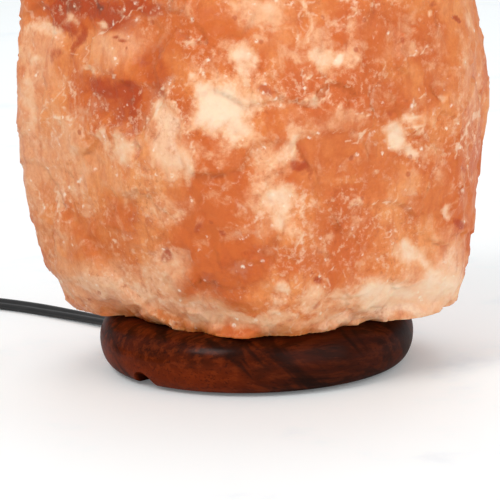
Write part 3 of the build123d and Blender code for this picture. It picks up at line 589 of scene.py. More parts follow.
# The broken lower edge stays where the photograph shows it, and the cuts fade in above it. At the
# lower left the body stays as it is further up, because its outline shows there.
fewest_kept, more_kept, lower_left, lower_left_span = 7, 44, 194, 24
kept_rings = fewest_kept + more_kept * np.exp(-(((bearing - lower_left) / lower_left_span) ** 2))
keep = np.clip(1 - np.arange(ring_count)[:, None] / kept_rings, 0, 1) ** np.sqrt(10.5 / kept_rings)
crystal = crystal + (unhewn - crystal) * keep[..., None]
furthest_left, furthest_right = -88.9, 90.6
crystal[..., 0] = np.clip(crystal[..., 0], furthest_left, furthest_right)
print("after hewing, widest", crystal[..., 0].min(), crystal[..., 0].max())

# %% [markdown]
# Rock salt is cloudy in patches: cream where it is full of tiny bubbles, peach where it is veiled,
# clear deep orange where it is pure, and rust brown where iron and clay are caught in it. Thin
# white veins run along healed cracks. The patches that the photograph shows are listed, as
# soft ovals on the side that faces the camera. The rest of the lump gets others of the same kind,
# from a fixed seed. They are only soft fields, and the material breaks up their edges later.

# %% Where each grid point shows in the picture
to_camera = np.array([0.0, -math.cos(look_down), math.sin(look_down)])
picture_up = np.array([0.0, math.sin(look_down), math.cos(look_down)])
offset = crystal - (np.array(aim) + to_camera * camera_distance) * 1000
depth = -(offset @ to_camera)
picture_u = focal_pixels * offset[..., 0] / depth
picture_v = -focal_pixels * (offset @ picture_up) / depth
lean_c, lean_s = math.cos(camera_lean), math.sin(camera_lean)
picture_x = picture_size / 2 + lean_c * picture_u - lean_s * picture_v
picture_y = picture_size / 2 + lean_s * picture_u + lean_c * picture_v
body_normal = outward(crystal)
# What the photograph shows fades out where the surface turns away, and above the picture's top edge
turned_away, facing_fade, over_the_top, top_fade = -0.02, 0.14, -14, 12
facing = np.clip((body_normal @ to_camera - turned_away) / facing_fade, 0, 1)
in_picture = facing * np.clip((picture_y - over_the_top) / top_fade, 0, 1)
print("picture spans", round(picture_x.min()), "to", round(picture_x.max()), "pixels across")


def wave(x, y, across, down, size, start=0.0):
    """A plain wave over the picture, with its pace across and down in radians for each pixel."""
    return size * np.sin(across * x + down * y + start)


# A wavering of the pattern, so that no patch is a plain oval
here = (picture_x, picture_y)
waver_x = wave(*here, 0.083, 0.121, 3.2, 1.0) + wave(*here, 0.21, -0.17, 1.9)
waver_y = wave(*here, -0.107, 0.094, 3.0, 2.2) + wave(*here, 0.23, 0.19, 1.8)
spot_x, spot_y = picture_x + waver_x, picture_y + waver_y

# A map of the whole side, as large as in the picture, for what the photograph doesn't show
mean_radius, map_scale = 84, 2.62
map_x = np.broadcast_to(np.unwrap(around)[None, :] * mean_radius, radius.shape) * map_scale
map_y = crystal[..., 2] * map_scale
there = (map_x, map_y)
map_x, map_y = (
    map_x + wave(*there, 0.031, 0.052, 7) + wave(*there, -0.11, 0.17, 4),
    map_y + wave(*there, 0.047, -0.036, 7) + wave(*there, 0.15, 0.13, 4),
)

# %% Chips that the photograph shows
# Each is a convex outline in the picture, how deep it is in millimetres at its middle, and how much
# deeper it gets for each pixel to the right and down. Its border is a small crisp ledge.
chips_seen = [
    ([(30, -4), (146, -4), (140, 8), (85, 45), (58, 42), (26, 20)], 1.0, 0.004, 0.012),
    ([(82, 77), (120, 82), (160, 63), (168, 98), (136, 137), (98, 118)], 1.3, 0.01, 0.004),
    ([(175, 98), (190, 90), (212, 130), (214, 190), (187, 186), (193, 150)], 0.7, -0.06, 0.0),
    ([(150, 103), (148, 120), (140, 160), (118, 150), (110, 118)], 0.6, 0.022, 0.0),
    ([(345, 319), (352, 309), (372, 303), (389, 310), (382, 324), (350, 326)], 1.3, 0.0, 0.05),
    ([(94, 300), (138, 306), (152, 320), (100, 318)], 0.9, 0.0, 0.05),
    ([(18, 60), (60, 62), (76, 119), (60, 117), (20, 122)], 0.4, 0.0, 0.018),
    (
        [(484, 100), (470, 118), (460, 145), (452, 168), (456, 204), (500, 204), (500, 86)],
        0.9, 0.03, 0.0,
    ),
    ([(298, 136), (395, 122), (412, 160), (395, 196), (310, 202), (284, 176)], 0.6, 0.002, -0.008),
    ([(178, 232), (262, 226), (300, 262), (290, 300), (200, 297), (170, 262)], 0.6, 0.003, 0.006),
    ([(85, 46), (140, 9), (160, 30), (152, 63), (120, 77), (86, 71)], 0.35, 0.012, -0.012),
    ([(402, 212), (440, 206), (452, 240), (440, 262), (404, 250)], 0.5, -0.012, 0.012),
    ([(212, 60), (255, 40), (266, 88), (250, 142), (206, 140), (192, 100)], 0.35, 0.01, 0.004),
    ([(300, 73), (326, 74), (332, 96), (314, 103), (300, 92)], 0.8, 0.0, -0.01),
    ([(412, 96), (428, 95), (431, 108), (418, 113)], 0.7, 0.0, 0.0),
    ([(40, 170), (78, 160), (96, 214), (70, 262), (42, 236)], 0.45, 0.012, 0.004),
    ([(104, 216), (150, 190), (168, 244), (140, 262), (112, 250)], 0.45, 0.01, -0.008),
    ([(262, 180), (290, 160), (300, 200), (296, 240), (262, 236)], 0.4, -0.02, 0.0),
    ([(345, 14), (366, 10), (382, 24), (372, 40), (350, 34)], 0.6, 0.0, 0.01),
]
chip_waver, ledge_width, deepest_chip = 0.45, 2.6, 2.2
sunk = np.zeros_like(picture_x)
for outline, middle_depth, deeper_right, deeper_down in chips_seen:
    middle_x, middle_y = np.mean(outline, axis=0)
    inside = np.full_like(picture_x, 1e3)
    for (x0, y0), (x1, y1) in zip(outline, outline[1:] + outline[:1]):
        side = (x1 - x0) * (picture_y + chip_waver * waver_y - y0)
        side = side - (y1 - y0) * (picture_x + chip_waver * waver_x - x0)
        inside = np.minimum(inside, side / math.hypot(x1 - x0, y1 - y0))
    depth_here = middle_depth + deeper_right * (picture_x - middle_x)
    depth_here = np.clip(depth_here + deeper_down * (picture_y - middle_y), 0, deepest_chip)
    sunk = np.maximum(sunk, np.clip(inside / ledge_width, 0, 1) * depth_here * in_picture)
crystal = crystal - body_normal * sunk[..., None]
print("chips:", len(chips_seen), "deepest", round(float(sunk.max()), 2), "mm")

# %% Cloudy patches and veins
# Each patch is an oval in the picture: its place, half sizes and strength, and its turn in degrees
# where it is turned. Each vein is a line.
cream_patches = [
    (222, 106, 30, 26, 1.15), (236, 132, 16, 18, 0.95, 30), (204, 101, 13, 22, 1.1),
    (245, 64, 11, 24, 0.9, 8), (198, 80, 6, 4, 0.8), (190, 40, 6, 3, 0.6, 30),
    (277, 200, 16, 20, 0.85, -35), (284, 224, 11, 17, 0.75, -30), (398, 137, 8, 15, 1.1, -34),
    (391, 128, 9, 5, 0.9, 15), (411, 150, 4, 8, 0.9, -38), (408, 119, 12, 3, 0.85, -30),
    (417, 128, 9, 2.5, 0.7, 8), (413, 254, 14, 14, 1.0), (424, 264, 11, 8, 0.8),
    (450, 212, 5, 10, 1.0), (319, 54, 14, 13, 0.95), (332, 36, 18, 14, 0.4), (335, 61, 5, 5, 1.2),
    (308, 20, 3.5, 24, 0.8), (262, 6, 24, 8, 0.6), (284, 152, 9, 30, 0.85, 32),
    (283, 284, 7, 10, 0.75), (304, 306, 10, 6, 0.75), (159, 110, 4, 12, 1.0, 5),
    (176, 107, 3, 7, 0.8), (103, 128, 6, 4, 0.8, -20), (76, 153, 6, 8, 0.55),
    (46, 28, 16, 8, 0.8, 10), (30, 57, 4, 5, 0.7), (121, 151, 13, 12, 0.8), (313, 100, 12, 5, 0.7),
    (432, 17, 4, 5, 0.8), (443, 103, 5, 4, 0.7), (466, 18, 4, 8, 0.6), (270, 322, 30, 3, 0.6, 3),
    (353, 205, 6, 4, 0.6), (372, 243, 5, 5, 0.5), (178, 215, 8, 7, 0.5), (333, 240, 6, 5, 0.6),
    (228, 24, 3, 2, 0.6), (70, 20, 5, 6, 0.7), (98, 25, 6, 4, 0.8), (88, 67, 6, 4, 0.7),
    (385, 294, 52, 14, 1.0, -6), (440, 286, 22, 22, 1.05, 10), (187, 165, 6, 24, 0.75, -14),
    (375, 170, 5, 4, 0.4), (164, 150, 12, 30, 0.6, -14), (28, 90, 7, 50, 0.6),
    (250, 318, 60, 6, 0.6, 2), (310, 300, 26, 12, 0.55), (160, 276, 18, 16, 0.6, 20),
    (95, 288, 30, 9, 0.45, 14), (140, 296, 34, 8, 0.2, 14), (262, 16, 22, 14, 0.45),
    (340, 50, 24, 16, 0.35), (330, 24, 22, 14, 0.45), (352, 62, 16, 9, 0.55, -20),
    (300, 48, 10, 18, 0.55), (322, 40, 24, 22, 0.5),
]
pale_and_lit_patches = [
    (40, 60, 22, 40, 0.9), (28, 130, 14, 90, 1.0, -3), (60, 165, 40, 50, 0.7),
    (118, 48, 34, 22, 0.8, -24), (168, 140, 20, 42, 1.35, -14), (125, 150, 18, 14, 0.9),
    (100, 200, 40, 24, 0.35), (165, 212, 28, 18, 0.6), (56, 240, 26, 34, 0.45),
    # Partly painted light: the patches at (165, 272) and (110, 288) are the salt's own cloudiness,
    # made stronger to lighten the lower left, where the surface faces down into shade
    (165, 272, 26, 22, 1.0, 20), (110, 288, 64, 24, 1.15, 14), (190, 308, 56, 14, 1.2, 12),
    (260, 322, 80, 9, 1.0, 2), (405, 298, 64, 24, 1.6, -5), (450, 275, 20, 40, 1.3, 8),
    (345, 320, 50, 9, 1.2, -6), (262, 14, 34, 16, 0.8), (275, 40, 22, 20, 0.4),
    (272, 170, 20, 40, 0.8, 30), (340, 120, 30, 12, 0.7, -10), (440, 60, 14, 40, 0.4),
    (470, 90, 12, 60, 0.65), (440, 165, 9, 36, 0.6, -14), (400, 52, 26, 10, 0.6, -18),
    (360, 24, 24, 14, 0.45), (320, 60, 26, 16, 0.5), (250, 90, 34, 50, 0.35),
    (300, 300, 40, 14, 0.6), (385, 205, 30, 14, 0.4), (275, 210, 30, 36, 0.7, -30),
    (225, 150, 20, 16, 0.5), (300, 118, 24, 16, 0.5),
]
deep_and_shade_patches = [
    (200, 36, 48, 30, 1.0), (352, 165, 52, 26, 0.75), (388, 100, 26, 24, 1.1), (318, 88, 9, 9, 1.3),
    (188, 118, 7, 34, 1.2, -12), (215, 185, 34, 20, 0.6), (432, 90, 14, 22, 0.9),
    (352, 232, 46, 24, 0.8), (300, 262, 46, 22, 0.9), (222, 262, 60, 36, 1.3),
    (372, 46, 9, 22, 1.0, 20), (150, 70, 18, 40, 1.2), (120, 100, 44, 28, 1.3, 10),
    (90, 12, 66, 24, 1.2, 6), (110, 235, 40, 40, 0.6), (205, 30, 60, 34, 0.9),
    (362, 24, 12, 7, 0.9), (418, 104, 7, 7, 0.9), (422, 138, 8, 7, 1.0), (362, 222, 24, 14, 0.6),
    (330, 30, 18, 18, 0.6), (440, 30, 10, 26, 0.9), (355, 134, 6, 8, 0.9), (195, 240, 30, 18, 0.5),
    (45, 148, 12, 16, 0.4), (117, 246, 14, 12, 0.5), (352, 311, 20, 5, 0.9, -12),
    # Painted shade: the two patches at (468, 152) and (459, 205) darken the steep facet at the right
    (92, 306, 30, 6, 0.7, 14), (412, 210, 18, 18, 0.7), (468, 152, 9, 40, 0.9, 14),
    (459, 205, 9, 36, 0.9), (325, 285, 26, 16, 0.5), (280, 95, 18, 26, 0.6),
    (150, 160, 10, 14, 0.5),
]
rust_patches = [
    (78, 6, 34, 15, 1.1, 8), (108, 16, 26, 14, 0.95, 10), (58, 6, 9, 9, 1.2), (97, 3, 7, 7, 1.3),
    (63, 22, 8, 14, 0.9, -20), (140, 6, 26, 12, 0.85), (108, 88, 32, 14, 0.85, 10),
    (128, 94, 11, 14, 1.0, -20), (120, 112, 30, 20, 0.6), (155, 76, 14, 36, 0.55),
    (222, 274, 50, 26, 0.42), (250, 250, 26, 16, 0.4), (131, 118, 7, 22, 0.8, 4),
    (116, 106, 16, 14, 0.7), (76, 42, 6, 22, 0.8, 8), (57, 56, 7, 9, 0.65), (146, 66, 9, 26, 0.6),
    (305, 165, 6, 6, 0.95), (299, 160, 4, 3, 0.8), (316, 284, 6, 5, 1.0), (320, 304, 4, 3, 0.9),
    (455, 17, 3, 4, 1.0), (459, 222, 4, 5, 1.0), (455, 236, 3, 10, 0.6), (168, 258, 3, 8, 0.8, -15),
    (187, 162, 2, 7, 0.8, -20), (118, 38, 8, 2, 0.8, 5), (122, 48, 2, 5, 0.7),
    (200, 232, 4, 6, 0.6), (220, 237, 4, 4, 0.7), (155, 133, 2, 6, 0.7, 10),
    (300, 165, 14, 4, 0.6, 60), (136, 220, 10, 14, 0.45), (147, 228, 8, 12, 0.5),
    (268, 92, 6, 5, 0.6), (434, 5, 5, 8, 0.7), (400, 128, 12, 3, 0.3), (250, 62, 4, 3, 0.3),
    (463, 168, 3, 6, 0.6), (170, 98, 3, 6, 0.5),
]
veins = [
    [(345, 24), (349, 17), (359, 14), (369, 17), (377, 24), (377, 31), (372, 37)],
    [(481, 100), (476, 110), (468, 121), (461, 139), (456, 157)],
    [(302, 70), (304, 77), (327, 78), (329, 92), (333, 97), (318, 102), (304, 92), (301, 78)],
    [
        (333, 134), (342, 132), (346, 139), (352, 145), (358, 143), (362, 134), (376, 124),
        (371, 113), (355, 112),
    ],
    [(385, 126), (403, 123), (411, 118), (414, 115)], [(408, 129), (423, 128), (424, 136)],
    [(413, 104), (416, 97), (424, 96), (429, 102), (424, 89), (421, 75)],
    [(382, 70), (386, 61), (394, 61), (406, 57), (419, 53), (427, 45), (421, 36)],
    [(305, 2), (308, 40), (310, 68)], [(373, 204), (382, 201), (393, 204), (398, 194), (392, 186)],
    [(322, 276), (331, 270), (339, 265)], [(61, 91), (64, 105), (64, 112), (70, 115)],
    [(103, 221), (108, 230), (117, 243)], [(38, 190), (42, 204)], [(52, 188), (56, 212), (62, 226)],
    [(169, 57), (182, 58), (190, 56), (188, 42), (196, 38), (204, 37)],
    [(160, 88), (170, 90), (177, 86)], [(480, 104), (470, 121), (462, 139), (456, 160)],
    [(113, 104), (115, 114)], [(120, 104), (124, 110)], [(345, 106), (350, 96), (348, 78)],
    [(352, 104), (356, 94)], [(200, 76), (193, 82)], [(285, 2), (300, 12), (306, 20)],
    [(292, 30), (300, 36), (296, 44)], [(262, 96), (258, 108)],
    [(175, 98), (193, 145), (192, 170), (188, 182)], [(85, 45), (112, 24), (140, 9)],
    [(86, 46), (87, 70), (120, 77)], [(25, 122), (60, 117), (75, 120)],
    [(152, 104), (143, 122), (139, 134)], [(58, 42), (84, 60)], [(196, 60), (206, 78), (214, 84)],
    [(390, 236), (372, 246)], [(404, 232), (405, 226)], [(436, 254), (448, 248)],
]

# %% Lay the patches on the grid
def oval_field(across, down, patches):
    """A soft field: the patch's strength in its middle, falling to 0 a little outside its oval."""
    field = np.zeros_like(across)
    for x, y, half_x, half_y, strength, *turn in patches:
        reach = 2 * max(half_x, half_y)
        near = (np.abs(across - x) < reach) & (np.abs(down - y) < reach)
        turn = math.radians(sum(turn))
        dx, dy = across[near] - x, down[near] - y
        along = (dx * math.cos(turn) + dy * math.sin(turn)) / half_x
        aside = (dy * math.cos(turn) - dx * math.sin(turn)) / half_y
        oval = strength * np.clip(1.5 - np.hypot(along, aside), 0, 1)
        field[near] = np.maximum(field[near], oval)
    return field


def line_field(across, down, lines, width=2.1):
    """1 on a line and 0 a little outside its width."""
    field = np.zeros_like(across)
    for line in lines:
        for (x0, y0), (x1, y1) in zip(line, line[1:]):
            reach = 3 * width + math.hypot(x1 - x0, y1 - y0)
            near = (np.abs(across - x0) < reach) & (np.abs(down - y0) < reach)
            dx, dy = across[near] - x0, down[near] - y0
            share = (dx * (x1 - x0) + dy * (y1 - y0)) / ((x1 - x0) ** 2 + (y1 - y0) ** 2)
            share = np.clip(share, 0, 1)
            off_line = np.hypot(dx - share * (x1 - x0), dy - share * (y1 - y0))
            field[near] = np.maximum(field[near], np.clip(1.2 - off_line / width, 0, 1))
    return field


map_around = 2 * math.pi * mean_radius * map_scale


def scattered(count, smallest, largest, stretch):
    """Clusters of patches, for the sides that the photograph doesn't show."""
    found = []
    for _ in range(count):
        x, y = chance.uniform(0, map_around), chance.uniform(70, 610)
        reach, strength = chance.uniform(smallest, largest), chance.uniform(0.5, 1.15)
        for _ in range(int(chance.integers(2, 6))):
            half = reach * chance.uniform(0.3, 0.9)
            place = (x + chance.normal(0, 0.8) * reach, y + chance.normal(0, 0.8) * reach)
            slim, turn = half * chance.uniform(0.35, stretch), chance.uniform(-90, 90)
            found.append((*place, half, slim, strength * chance.uniform(0.6, 1.1), turn))
    return found


def scattered_veins(count, pace=11):
    """Short wandering lines."""
    found = []
    for _ in range(count):
        x, y = chance.uniform(0, map_around), chance.uniform(70, 600)
        heading, line = chance.uniform(0, 2 * math.pi), [(x, y)]
        for _ in range(int(chance.integers(2, 6))):
            heading += chance.normal(0, 0.9)
            x, y = x + pace * math.cos(heading), y + pace * math.sin(heading)
            line.append((x, y))
        found.append(line)
    return found


fields = {}
for kind, patches, unseen in (
    ("cream", cream_patches, (60, 4, 26, 1.2)), ("pale", pale_and_lit_patches, (36, 14, 50, 1.3)),
    ("deep", deep_and_shade_patches, (34, 12, 50, 1.2)), ("rust", rust_patches, (26, 3, 20, 1.4)),
):
    in_view = oval_field(spot_x, spot_y, patches) * in_picture
    fields[kind] = in_view + oval_field(map_x, map_y, scattered(*unseen)) * (1 - in_picture)
vein_shift_x = 0.3 * waver_x + wave(*here, 0.31, 0.55, 1.5)
vein_shift_y = 0.3 * waver_y + wave(*here, 0.61, -0.27, 1.5, 1.0)
in_view = line_field(picture_x + vein_shift_x, picture_y + vein_shift_y, veins) * in_picture
elsewhere = line_field(map_x + vein_shift_x, map_y + vein_shift_y, scattered_veins(70))
fields["vein"] = in_view + elsewhere * (1 - in_picture)
print("patches laid:", {kind: round(float(soft.mean()), 2) for kind, soft in fields.items()})

# %% [markdown]
# The grid becomes a closed mesh: the outside, a small cap at the top, the sawn underside as a ring,
# and the bore that is drilled up into it for the bulb, with its cone. A number on each point says
# how much weathering it may take: all of it outside, none on what was sawn or drilled.

# %% Closed mesh with its bore
bore_radius, bore_top, cone_radius, cone_top = 21.0, 112.0, 12.0, 118.0
summit_height, lowest_ring_skin = 234.9, 0.25
circle = np.stack([np.cos(around), np.sin(around)], axis=-1)


def level_ring(ring, height):
    """A ring of points at one height."""
    return np.column_stack([ring, np.full(around_count, height)])


inner_rings = [
    level_ring(crystal[0, :, :2] * (1 - share) + circle * bore_radius * share, sawn_height)
    for share in (0.25, 0.5, 0.75, 1.0)
]
inner_rings.append(level_ring(circle * bore_radius, bore_top))
inner_rings.append(level_ring(circle * cone_radius, cone_top))
summit_place = [crystal[-1, :, 0].mean(), crystal[-1, :, 1].mean(), summit_height]
ends = np.array([[0.0, 0.0, cone_top], summit_place])
points = np.concatenate([crystal.reshape(-1, 3), *inner_rings, ends]) / 1000
outside_skin = np.repeat([lowest_ring_skin] + [1.0] * (ring_count - 1), around_count)
fields["skin"] = np.concatenate([outside_skin, np.zeros(len(points) - len(outside_skin))])

faces = []
index = np.arange(around_count)
following = (index + 1) % around_count


def add_faces(*corners):
    """One face for each point of a ring."""
    faces.extend(np.stack(np.broadcast_arrays(*corners), 1).tolist())


for low in range(0, (ring_count - 1) * around_count, around_count):
    high = low + around_count
    add_faces(low + index, low + following, high + following, high + index)
chain = [0] + [(ring_count + ring) * around_count for ring in range(len(inner_rings))]
for outer, inner in zip(chain, chain[1:]):
    add_faces(outer + following, outer + index, inner + index, inner + following)
bore_end, summit = len(points) - 2, len(points) - 1
last_ring = (ring_count - 1) * around_count
add_faces(chain[-1] + following, chain[-1] + index, bore_end)
add_faces(last_ring + index, last_ring + following, summit)

crystal_mesh = bpy.data.meshes.new("rough_crystal")
crystal_mesh.from_pydata(points.tolist(), [], faces)
crystal_mesh.update()
for kind, soft in fields.items():
    values = np.zeros(len(points), np.float32)
    values[: soft.size] = soft.ravel()
    crystal_mesh.attributes.new(kind, "FLOAT", "POINT").data.foreach_set("value", values)
rough_crystal = add_object("rough_crystal", crystal_mesh)
print("crystal mesh:", len(points), "points,", len(faces), "faces")

# %% [markdown]
# The salt itself. Light goes a little way in, so the shader scatters some of it under the surface.
# The colour is built in layers from the deep orange of clear salt to the cream of cloudy salt,
# with painted highlights and glints laid over them as light flecks and dots.
# Every soft field gets noise added before it is cut off, which is what makes the edges of real
# patches ragged and grainy.

# %% Material: rock salt
salt, tree, look = new_material("rock_salt")
place = object_place(tree)
broad = grain(place, 0.034, detail=5.0, warp=0.4)
middle = grain(place, 0.0085, detail=6.0, rough=0.62, warp=0.3)
fine = grain(place, 0.0026, detail=5.0, rough=0.65)
tiny = grain(place, 0.0011, detail=3.0, rough=0.6)
streaks = grain(squeeze(place, (1.0, 1.0, 0.28)), 0.0042, detail=5.0, rough=0.6)
granular = step_mask(grain(place, 0.028, warp=0.5), 0.42, 0.62)
ragged_edge = calc("MULTIPLY_ADD", middle, 1.5, -0.75)
ragged_edge = calc("ADD", ragged_edge, calc("MULTIPLY_ADD", fine, 0.8, -0.4))


def field(kind, spread=1.0):
    """A patch field with its edge broken up."""
    settings = {"attribute_name": kind, "attribute_type": "GEOMETRY"}
    soft = put(tree, "ShaderNodeAttribute", settings).outputs["Fac"]
    return calc("MULTIPLY_ADD", ragged_edge, spread, soft)


def dots(scale, low, high):
    """Small round dots, one in each cell of a Voronoi pattern."""
    cells = put(tree, "ShaderNodeTexVoronoi", Vector=place, Scale=scale)
    return opposite(step_mask(cells.outputs["Distance"], low, high))


iron = field("rust")
clear_orange = blend_paint(
    step_mask(broad, 0.38, 0.54), paint(212, 104, 40), paint(228, 132, 66)
)
body = lay(clear_orange, (
    ((238, 154, 92), step_mask(broad, 0.5, 0.64)),
    # The deep layer also carries painted shade on the steep facet at the right
    ((212, 104, 38), step_mask(field("deep"), 0.2, 1.0)),
    # The two pale layers also carry painted light at the lower left
    ((240, 168, 120), step_mask(field("pale", 0.8), 0.15, 1.0), 0.9),
    ((253, 214, 180), step_mask(field("pale", 0.6), 0.95, 1.5)),
    ((198, 88, 34), step_mask(streaks, 0.46, 0.68), 0.36),
    # Painted highlight: light peach flecks on the middle-sized grain
    ((247, 188, 142), step_mask(middle, 0.5, 0.7), 0.5),
    ((190, 84, 34), step_mask(tiny, 0.44, 0.6), 0.12),
    ((176, 72, 26), opposite(step_mask(fine, 0.32, 0.44)), granular, 0.4),
    ((178, 60, 4), step_mask(iron, 0.2, 0.9), 0.85),
    ((104, 36, 12), step_mask(iron, 0.95, 1.6), 0.85),
))

# %% Rock salt: healed cracks, cream clouds, painted glints and specks
warp = put(tree, "ShaderNodeTexNoise", Vector=place, Scale=70.0, Detail=4.0).outputs["Color"]
bent = vector("MULTIPLY_ADD", warp, (0.02, 0.02, 0.02), place).outputs[0]
cracks = put(
    tree, "ShaderNodeTexVoronoi", {"feature": "DISTANCE_TO_EDGE"}, Vector=bent, Scale=75.0
)
crack = times(
    opposite(step_mask(cracks.outputs["Distance"], 0.0, 0.075)),
    step_mask(grain(place, 0.045, detail=3.0), 0.5, 0.64),
    step_mask(fine, 0.4, 0.62),
    opposite(step_mask(field("rust", 0.3), 0.1, 0.5)),
)
cloud_core = step_mask(field("cream", 0.75), 0.55, 1.25)
# The zone for painted glints: where both the middle and the fine grain are high
painted_glint_zone = times(step_mask(middle, 0.5, 0.58), step_mask(fine, 0.46, 0.56))
body = lay(body, (
    ((248, 208, 176), crack, 0.6),
    ((250, 214, 180), step_mask(field("vein", 1.1), 0.5, 1.2), 0.7),
    ((246, 190, 146), step_mask(field("cream"), 0.12, 0.8), 0.8),
    ((253, 221, 190), cloud_core, 0.95),
    # Painted glints: small bright dots in that zone
    ((255, 236, 214), dots(260.0, 0.1, 0.3), painted_glint_zone, 0.75),
    ((184, 76, 28), dots(95.0, 0.06, 0.13), step_mask(middle, 0.42, 0.52), 0.6),
    # Painted highlight: light flecks on the fine grain, in the granular zones
    ((252, 210, 172), step_mask(fine, 0.5, 0.66), granular, 0.45),
))
rough = calc("MULTIPLY_ADD", cloud_core, 0.18, calc("MULTIPLY_ADD", middle, 0.3, 0.3))
feed(look, Base_Color=body, Roughness=rough, IOR=1.54, Specular_IOR_Level=0.3)
feed(look, Subsurface_Weight=0.18, Subsurface_Radius=(1.0, 0.36, 0.14), Subsurface_Scale=0.005)
relief = calc("MULTIPLY_ADD", fine, 0.32, times(tiny, 0.1))
relief = calc("MULTIPLY_ADD", middle, 0.6, relief)
bump(look, calc("MULTIPLY_ADD", crack, -0.12, relief), 0.0016, 0.5)
print("rock salt material:", len(tree.nodes), "nodes")

# %% [markdown]
# Weathering is a rule that holds all over the lump, so Geometry Nodes do it: broad dents, shallow
# chips that follow a Voronoi pattern, and fine grain, each with its own size and depth. The points
# move along the surface's own direction, and are then kept above the sawn face and inside the box
# of the model.

# %% Weathering of the crystal, in Geometry Nodes
wear_settings = {
    "Dent Size": 0.024, "Dent Depth": 0.0014, "Facet Size": 0.021, "Facet Slope": 0.068,
    "Chip Size": 0.0085, "Chip Slope": 0.075, "Grain Size": 0.004, "Grain Depth": 0.00016,
    "Seed": 4.0,
}
seed = 7.0
low_corner, high_corner = (-0.0889, -0.0774, 0.022), (0.0906, 0.0765, 0.2349)


def weathering_tree():
    """A node tree with a named input for each size and depth of wear."""
    tree = bpy.data.node_groups.new("weathering", "GeometryNodeTree")
    sockets = tree.interface
    sockets.new_socket(name="Geometry", in_out="INPUT", socket_type="NodeSocketGeometry")
    for name, value in wear_settings.items():
        socket = sockets.new_socket(name=name, in_out="INPUT", socket_type="NodeSocketFloat")
        socket.default_value = value
    sockets.new_socket(name="Geometry", in_out="OUTPUT", socket_type="NodeSocketGeometry")
    given = tree.nodes.new("NodeGroupInput").outputs
    result = tree.nodes.new("NodeGroupOutput")
    here = put(tree, "GeometryNodeInputPosition").outputs[0]
    rises = []
    for kind in ("Dent", "Grain"):
        noise = put(
            tree, "ShaderNodeTexNoise", {"noise_dimensions": "4D"}, Vector=here, W=given["Seed"],
            Scale=calc("DIVIDE", 1.0, given[kind + " Size"]), Detail=3.0,
        )
        swing = calc("MULTIPLY_ADD", noise.outputs["Fac"], 2.0, -1.0)
        rises.append(times(swing, given[kind + " Depth"]))
    ripple = put(tree, "ShaderNodeTexNoise", Vector=here, Scale=110.0, Detail=2.0)
    bent = vector("MULTIPLY_ADD", ripple.outputs["Color"], (0.006, 0.006, 0.006), here).outputs[0]
    for kind in ("Facet", "Chip"):
        # Every Voronoi cell is a small plane that leans its own way, by its random colour
        scale = calc("DIVIDE", 1.0, given[kind + " Size"])
        cells = put(tree, "ShaderNodeTexVoronoi", Vector=bent, Scale=scale)
        from_middle = vector("SUBTRACT", bent, cells.outputs["Position"])
        lean = vector("SUBTRACT", cells.outputs["Color"], (0.5, 0.5, 0.5))
        rise = vector("DOT_PRODUCT", from_middle.outputs[0], lean.outputs[0])
        rises.append(times(rise.outputs["Value"], 2.0, given[kind + " Slope"]))
    wear = rises[0]
    for rise in rises[1:]:
        wear = calc("ADD", wear, rise)
    skin = put(tree, "GeometryNodeInputNamedAttribute", {"data_type": "FLOAT"}, Name="skin")
    move = vector("SCALE", put(tree, "GeometryNodeInputNormal").outputs[0])
    feed(move, Scale=times(wear, skin.outputs["Attribute"]))
    worn = put(
        tree, "GeometryNodeSetPosition", Geometry=given["Geometry"], Offset=move.outputs[0]
    )
    kept = vector("MAXIMUM", put(tree, "GeometryNodeInputPosition").outputs[0], low_corner)
    kept = vector("MINIMUM", kept.outputs[0], high_corner)
    inside = put(
        tree, "GeometryNodeSetPosition", Geometry=worn.outputs[0], Position=kept.outputs[0]
    )
    real = put(tree, "GeometryNodeRealizeInstances", Geometry=inside.outputs[0])
    finished = put(tree, "GeometryNodeSetMaterial", Geometry=real.outputs[0], Material=salt)
    feed(result, i0=finished.outputs[0])
    return tree


weathering = rough_crystal.modifiers.new("weathering", "NODES")
weathering.node_group = weathering_tree()
for item in weathering.node_group.interface.items_tree:
    if item.in_out == "INPUT" and item.name == "Seed":
        weathering[item.identifier] = seed
worn_mesh = as_evaluated(rough_crystal)
rough_crystal.modifiers.remove(weathering)
rough_crystal.data = worn_mesh
for polygon in worn_mesh.polygons:
    polygon.use_smooth = True
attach(rough_crystal, "lamp_body")
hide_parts("salt_crystal")
dress(salt, "salt_crystal")
print("weathered crystal:", [round(value, 4) for value in rough_crystal.dimensions])

# %% [markdown]
# The lamp's metals, mouldings, felt and cord all show the same thing close up: a tone that varies a
# little from place to place, a fine surface relief, and rubbed spots that shine more than the rest.
# One shader node group makes these three, and each material gives it its own size and strength.

